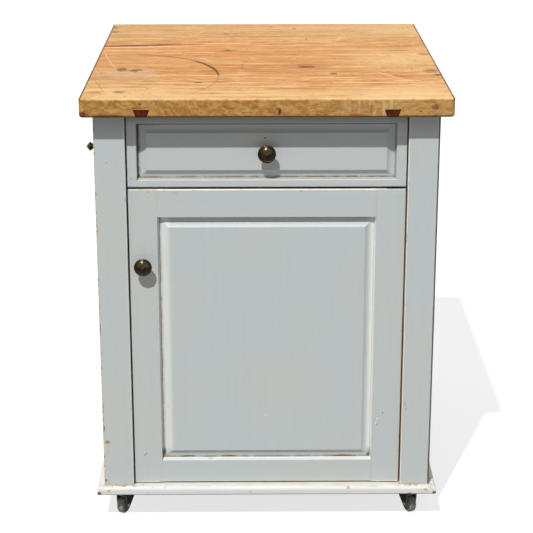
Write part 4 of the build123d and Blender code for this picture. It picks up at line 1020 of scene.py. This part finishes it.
# %% Antique brass
antique_brass, shader, point = start_finish("antique brass", metallic=1.0, coat=0.35)
shader.inputs["Coat Roughness"].default_value = 0.28
rubbed = mask_of(worn_edge, point, Width=0.0016, Wear=0.60, Patches=160.0)
tarnish = noise(point, 130.0, 4.0, 0.6)
color = tint(remap(tarnish, 0.35, 0.68), (76, 60, 33), (34, 25, 14))
color = lay(color, (186, 158, 110), rubbed, 0.55)
black = mask_of(corner_grime, point, Reach=0.004, Patches=90.0)
color = lay(color, (22, 16, 10), black, 0.85)
finish_surface(shader, color, remap(tarnish, 0.3, 0.7, 0.22, 0.36), tarnish, depth=0.00006, ease=0.0004)
print("brass finish:", len(bench.tree.nodes), "nodes")

# %% [markdown]
# The casters are pressed steel with a dark gunmetal lacquer, grey on their bends, partly
# rubbed and partly painted highlight, and the fronts and backs low on the forks are painted
# paler as highlight. Their wheels are a hard dark grey, with a paler, dusty tread.

# %% Caster finishes
black_lacquer, shader, point = start_finish("gunmetal lacquer", coat=0.2)
# The grey on the bends is partly rubbed lacquer and partly painted highlight.
scuffed_and_lit_bends = mask_of(worn_edge, point, Width=0.0012, Wear=0.85, Patches=220.0)
cloud = noise(point, 160.0, 4.0, 0.6)
color = tint(remap(cloud, 0.4, 0.75), (58, 58, 52), (84, 82, 74))
color = lay(color, (166, 164, 152), scuffed_and_lit_bends, 0.8)
# Painted highlight: faces that look to the front or back, low on the forks, are laid paler.
on_cheeks = remap(absolute(facing_on_piece()[1]), 0.80, 0.95)
color = lay(color, (158, 157, 146), on_cheeks, remap(split(point)[2], 0.0450, 0.0420), 0.45)
finish_surface(shader, color, remap(cloud, 0.3, 0.7, 0.32, 0.5), cloud, depth=0.0001, ease=0.0005)

caster_tread, shader, point = start_finish("caster tread", specular=0.45)
cloud = noise(point, 240.0, 4.0, 0.65)
color = tint(remap(cloud, 0.4, 0.7), (122, 120, 111), (156, 153, 142))
dust = mask_of(corner_grime, point, Reach=0.006, Patches=120.0)
color = lay(color, (120, 112, 98), dust, 0.4)
finish_surface(shader, color, remap(cloud, 0.3, 0.7, 0.42, 0.6), cloud, depth=0.0002, ease=0.0006)
print("caster finishes:", black_lacquer.name, "and", caster_tread.name)

# %% [markdown]
# Screws, rivets and the strike plate are zinc-plated steel: grey, cloudy and slightly brushed.
# The catch is a small moulded brown case.

# %% Steel and plastic
zinc_steel, shader, point = start_finish("zinc steel", metallic=1.0)
cloud = noise(point, 190.0, 4.0, 0.6)
color = tint(remap(cloud, 0.35, 0.7), (176, 176, 170), (126, 124, 116))
finish_surface(shader, color, remap(cloud, 0.3, 0.7, 0.3, 0.5), cloud, depth=0.0001, ease=0.0003)

catch_plastic, shader, point = start_finish("catch plastic", specular=0.4)
cloud = noise(point, 400.0, 3.0, 0.5)
color = tint(remap(cloud, 0.35, 0.7), (92, 62, 40), (76, 50, 32))
finish_surface(shader, color, remap(cloud, 0.3, 0.7, 0.45, 0.6), cloud, depth=0.0001, ease=0.0004)
print("finishes:", len(bpy.data.materials))

# %% [markdown]
# Now every solid gets its finish. Most follow the model's own list of material slots. Painted
# and pine pieces are sorted by the way their grain or brush lines run.

# %% Paint the pieces
finish_of_slot = {
    "butcher_block": butcher_block, "batten_wood": key_wood, "painted_wood": paint_upright,
    "white_base_paint": white_base_paint, "bare_pine": pine_along, "antique_brass": antique_brass,
    "screw_steel": zinc_steel, "catch_plastic": catch_plastic, "black_steel": black_lacquer,
    "axle_steel": zinc_steel, "wheel_plastic": caster_tread,
}
finish_of_piece = {
    "drawer_front": paint_front_level, "door_top_rail": paint_front_level,
    "door_bottom_rail": paint_front_level, "door_panel": paint_front_upright,
    "door_left_stile": paint_front_upright, "door_right_stile": paint_front_upright,
    "shelf": pine_across, "drawer_back": pine_across,
    "drawer_bottom": pine_across, "drawer_stops": pine_across,
}
for name in frame["nodes"]:
    if name.endswith("_post"):
        finish_of_piece[name] = paint_posts
    elif name.endswith("_rail") and name not in finish_of_piece:
        finish_of_piece[name] = paint_level
for entry in frame["record"]["subparts"]:
    name = entry["node"]
    finish = finish_of_piece.get(name, finish_of_slot[entry["material_slot"]])
    for material_slot in frame["nodes"][name].material_slots:
        material_slot.material = finish
print("pieces finished:", len(frame["nodes"]))

# %% [markdown]
# The cabinet is held together with screws of three kinds, so they are one rule with different
# sizes. A Geometry Nodes tree makes a screw from its measurements: a dome cut from a ball for
# a pan head or a cone for a countersunk one, a shank, and a cross cut in the head. It puts one
# at every point it is given and turns each by its own random amount. First come the steps
# that it repeats.

# %% Screw tree steps
def move(geometry, up):
    """Lifts geometry along Z by a socket's value."""
    lifted = {"Geometry": geometry, "Translation": combine(z=up)}
    return add_node("GeometryNodeTransform", lifted).outputs[0]


def boolean(operation, first, second):
    """Joins or cuts two closed meshes."""
    made = add_node("GeometryNodeMeshBoolean", operation=operation, solver="EXACT")
    feed(made.inputs["Mesh 1" if operation == "DIFFERENCE" else "Mesh 2"], first)
    feed(made.inputs["Mesh 2"], second)
    return made.outputs[0]


def choose(kind, switch, if_false, if_true):
    """Takes one of two values or shapes."""
    inputs = {"Switch": switch, "False": if_false, "True": if_true}
    return add_node("GeometryNodeSwitch", inputs, input_type=kind).outputs[0]


def cylinder(sides, radius, length):
    """A closed cylinder along Z."""
    sizes = {"Vertices": sides, "Radius": radius, "Depth": length}
    return add_node("GeometryNodeMeshCylinder", sizes).outputs[0]


print("screw tree steps ready")

# %% [markdown]
# A pan head is the cap of a ball. With a head radius r and a height h, the ball's radius is
# (r2 + h2) / 2h. The bar that trims it is open only below, where the cap closes the head.
# Two crossed bars cut the driver's recess.

# %% Screw tree
screw_tree = bpy.data.node_groups.new("wood screws", "GeometryNodeTree")
bench.tree = screw_tree
screw_tree.interface.new_socket("Geometry", in_out="INPUT", socket_type="NodeSocketGeometry")
screw_sockets = {}
for label, kind, value in (
    ("Head radius", "NodeSocketFloat", 0.004), ("Head height", "NodeSocketFloat", 0.002),
    ("Countersunk", "NodeSocketBool", False), ("Shank radius", "NodeSocketFloat", 0.002),
    ("Shank length", "NodeSocketFloat", 0.015), ("Tilt", "NodeSocketVector", (0, 0, 0)),
    ("Seed", "NodeSocketInt", 1), ("Finish", "NodeSocketMaterial", None),
):
    socket = screw_tree.interface.new_socket(label, in_out="INPUT", socket_type=kind)
    screw_sockets[label] = socket.identifier
    if value is not None:
        socket.default_value = value
screw_tree.interface.new_socket("Geometry", in_out="OUTPUT", socket_type="NodeSocketGeometry")
given = add_node("NodeGroupInput").outputs
head_radius, head_height = given["Head radius"], given["Head height"]

squares = calc("ADD", calc("MULTIPLY", head_radius, head_radius), calc("MULTIPLY", head_height, head_height))
ball_radius = calc("DIVIDE", squares, calc("MULTIPLY", head_height, 2.0))
ball = add_node("GeometryNodeMeshUVSphere", {"Segments": 24, "Rings": 16, "Radius": ball_radius}).outputs[0]
ball = move(ball, calc("SUBTRACT", ball_radius, head_height))
bar = cylinder(24, head_radius, calc("MULTIPLY", head_height, 2.0))
pan = boolean("INTERSECT", ball, move(bar, calc("MULTIPLY", head_height, -1.0)))
cone_sizes = {
    "Vertices": 24, "Depth": head_height,
    "Radius Bottom": head_radius, "Radius Top": given["Shank radius"],
}
cone = add_node("GeometryNodeMeshCone", cone_sizes).outputs[0]
head = choose("GEOMETRY", given["Countersunk"], pan, cone)
shank = cylinder(16, given["Shank radius"], given["Shank length"])
screw = boolean("UNION", head, move(shank, calc("MULTIPLY", given["Shank length"], 0.5)))

arm = calc("MULTIPLY", head_radius, 1.1)
blade = calc("MULTIPLY", head_radius, 0.22)
deep = calc("MULTIPLY", head_height, 1.1)
for across, thick in ((arm, blade), (blade, arm)):
    cross_bar = add_node("GeometryNodeMeshCube", {"Size": combine(across, thick, deep)}).outputs[0]
    lowest = choose("FLOAT", given["Countersunk"], calc("MULTIPLY", head_height, -1.0), 0.0)
    screw = boolean("DIFFERENCE", screw, move(cross_bar, lowest))

random_turn = {"Seed": given["Seed"], 3: 2 * math.pi}
turn = add_node("FunctionNodeRandomValue", random_turn, data_type="FLOAT").outputs[1]
places = {"Points": given["Geometry"], "Instance": screw, "Rotation": given["Tilt"]}
placed = add_node("GeometryNodeInstanceOnPoints", places).outputs[0]
turns = {"Instances": placed, "Rotation": combine(z=turn), "Local Space": True}
turned = add_node("GeometryNodeRotateInstances", turns).outputs[0]
solid = add_node("GeometryNodeRealizeInstances", {"Geometry": turned}).outputs[0]
painted = add_node("GeometryNodeSetMaterial", {"Geometry": solid, "Material": given["Finish"]}).outputs[0]
feed(add_node("NodeGroupOutput").inputs[0], painted)
print("screw tree:", len(screw_tree.nodes), "nodes")

# %% [markdown]
# Each set of screws starts as bare points. The tree runs on them, the result is kept as a
# plain mesh, and the set then stands for the plain pins of the solid model.

# %% Set the screws
def set_screws(name, node, body, places, measures, tilt=(0.0, 0.0, 0.0)):
    """Makes one set of screws and lets it ride on its body."""
    points = bpy.data.meshes.new(name + "_points")
    points.from_pydata(places, [], [])
    holder = bpy.data.objects.new(name + "_points", points)
    bpy.context.scene.collection.objects.link(holder)
    maker = holder.modifiers.new("screws", "NODES")
    maker.node_group = screw_tree
    values = {
        "Head radius": 0.004, "Head height": 0.002, "Countersunk": False, "Shank radius": 0.002,
        "Shank length": 0.015, "Tilt": tilt, "Seed": len(name), "Finish": zinc_steel,
    } | measures
    for label, value in values.items():
        maker[screw_sockets[label]] = value
    evaluated = holder.evaluated_get(bpy.context.evaluated_depsgraph_get())
    mesh = bpy.data.meshes.new_from_object(evaluated)
    bpy.data.objects.remove(holder)
    screws = bpy.data.objects.new(name, mesh)
    bpy.context.scene.collection.objects.link(screws)
    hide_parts(node)
    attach(screws, body)
    print(name, len(places), "screws,", len(mesh.polygons), "faces")


plate_pitch = 0.016
plate_under = 0.0515
kingpins = [(x, y) for x in (-0.263, 0.263) for y in (-0.278, 0.278)]
corners = [(dx, dy) for dx in (-plate_pitch, plate_pitch) for dy in (-plate_pitch, plate_pitch)]
caster_points = [(x + dx, y + dy, plate_under) for x, y in kingpins for dx, dy in corners]
set_screws("caster_screw_set", "caster_screws", "cabinet", caster_points, {"Head radius": 0.0038})

base_under = 0.0535
base_points = [(x, y, base_under) for x in (-0.263, 0.263) for y in (-0.293, 0.293)]
set_screws("base_screw_set", "base_screws", "cabinet", base_points, {
    "Head radius": 0.005, "Head height": 0.0035, "Countersunk": True,
    "Shank radius": 0.0025, "Shank length": 0.060,
})

rail_under = 0.746
rail_points = [(x, -0.2675, rail_under) for x in (-0.12, 0.0, 0.12)]
rail_points += [(x, y, rail_under) for x in (-0.233, 0.233) for y in (-0.12, 0.18)]
set_screws("worktop_screw_set", "worktop_screws", "cabinet", rail_points, {
    "Head radius": 0.0042, "Head height": 0.003, "Countersunk": True,
    "Shank radius": 0.0022, "Shank length": 0.052,
})

facing_back = (math.pi / 2, 0.0, 0.0)
leaf_back = -0.289
knob_head = {"Head radius": 0.0044, "Head height": 0.0024}
set_screws("drawer_knob_screw_set", "drawer_knob_screw", "drawer", [(0.0, leaf_back, 0.706)],
           knob_head | {"Shank length": 0.027}, tilt=facing_back)
set_screws("door_knob_screw_set", "door_knob_screw", "door", [(-0.219, leaf_back, 0.500)],
           knob_head | {"Shank length": 0.029}, tilt=facing_back)

# %% [markdown]
# The cabinet stands on a plain pale floor. The floor looks nearly white to the camera and
# keeps the shadow, but it throws less light back up, so that the fronts keep their depth.

# %% Floor
reach = 20.0
floor_corners = [(-reach, -reach, 0), (reach, -reach, 0), (reach, reach, 0), (-reach, reach, 0)]
floor_mesh = bpy.data.meshes.new("floor")
floor_mesh.from_pydata(floor_corners, [], [(0, 1, 2, 3)])
floor = bpy.data.objects.new("floor", floor_mesh)
bpy.context.scene.collection.objects.link(floor)
floor_paint = bpy.data.materials.new("floor")
floor_paint.use_nodes = True
bench.tree = floor_paint.node_tree
shader = bench.tree.nodes["Principled BSDF"]
shader.inputs["Roughness"].default_value = 0.9
shader.inputs["Specular IOR Level"].default_value = 0.1
shader.inputs["Base Color"].default_value = (0.30, 0.30, 0.30, 1.0)
shader.inputs["Emission Color"].default_value = (0.74, 0.74, 0.74, 1.0)
feed(shader.inputs["Emission Strength"], add_node("ShaderNodeLightPath").outputs["Is Camera Ray"])
floor_mesh.materials.append(floor_paint)
print("floor reaches", reach, "m to each side")

# %% [markdown]
# One lamp stands high in front and to the left, as the sun does on the real cabinet. It
# throws the worktop's crisp shadow across the drawer. The sky around gives the rest, a little
# stronger from behind, so that the back and sides read too.

# %% Lamp and sky
lamp_data = bpy.data.lights.new("key lamp", "SUN")
lamp_data.energy = 3.4
lamp_data.angle = math.radians(1.2)
lamp = bpy.data.objects.new("key lamp", lamp_data)
to_lamp = Vector((-0.39, -1.0, 1.60))
lamp.rotation_euler = to_lamp.to_track_quat("Z", "Y").to_euler()
bpy.context.scene.collection.objects.link(lamp)

sky = bpy.data.worlds.new("sky")
bpy.context.scene.world = sky
sky.use_nodes = True
bench.tree = sky.node_tree
direction = split(add_node("ShaderNodeTexCoord").outputs["Generated"])
sky_light = remap(direction[1], -0.3, 0.6, 0.28, 0.75)
path = add_node("ShaderNodeLightPath").outputs
seen = either(path["Is Camera Ray"], path["Is Glossy Ray"], path["Is Transmission Ray"])
background = bench.tree.nodes["Background"]
background.inputs["Color"].default_value = (1.0, 1.0, 1.0, 1.0)
feed(background.inputs["Strength"], add_node("ShaderNodeMix", {0: seen, 2: sky_light, 3: 1.0}).outputs[0])
print("lamp strength:", lamp_data.energy)
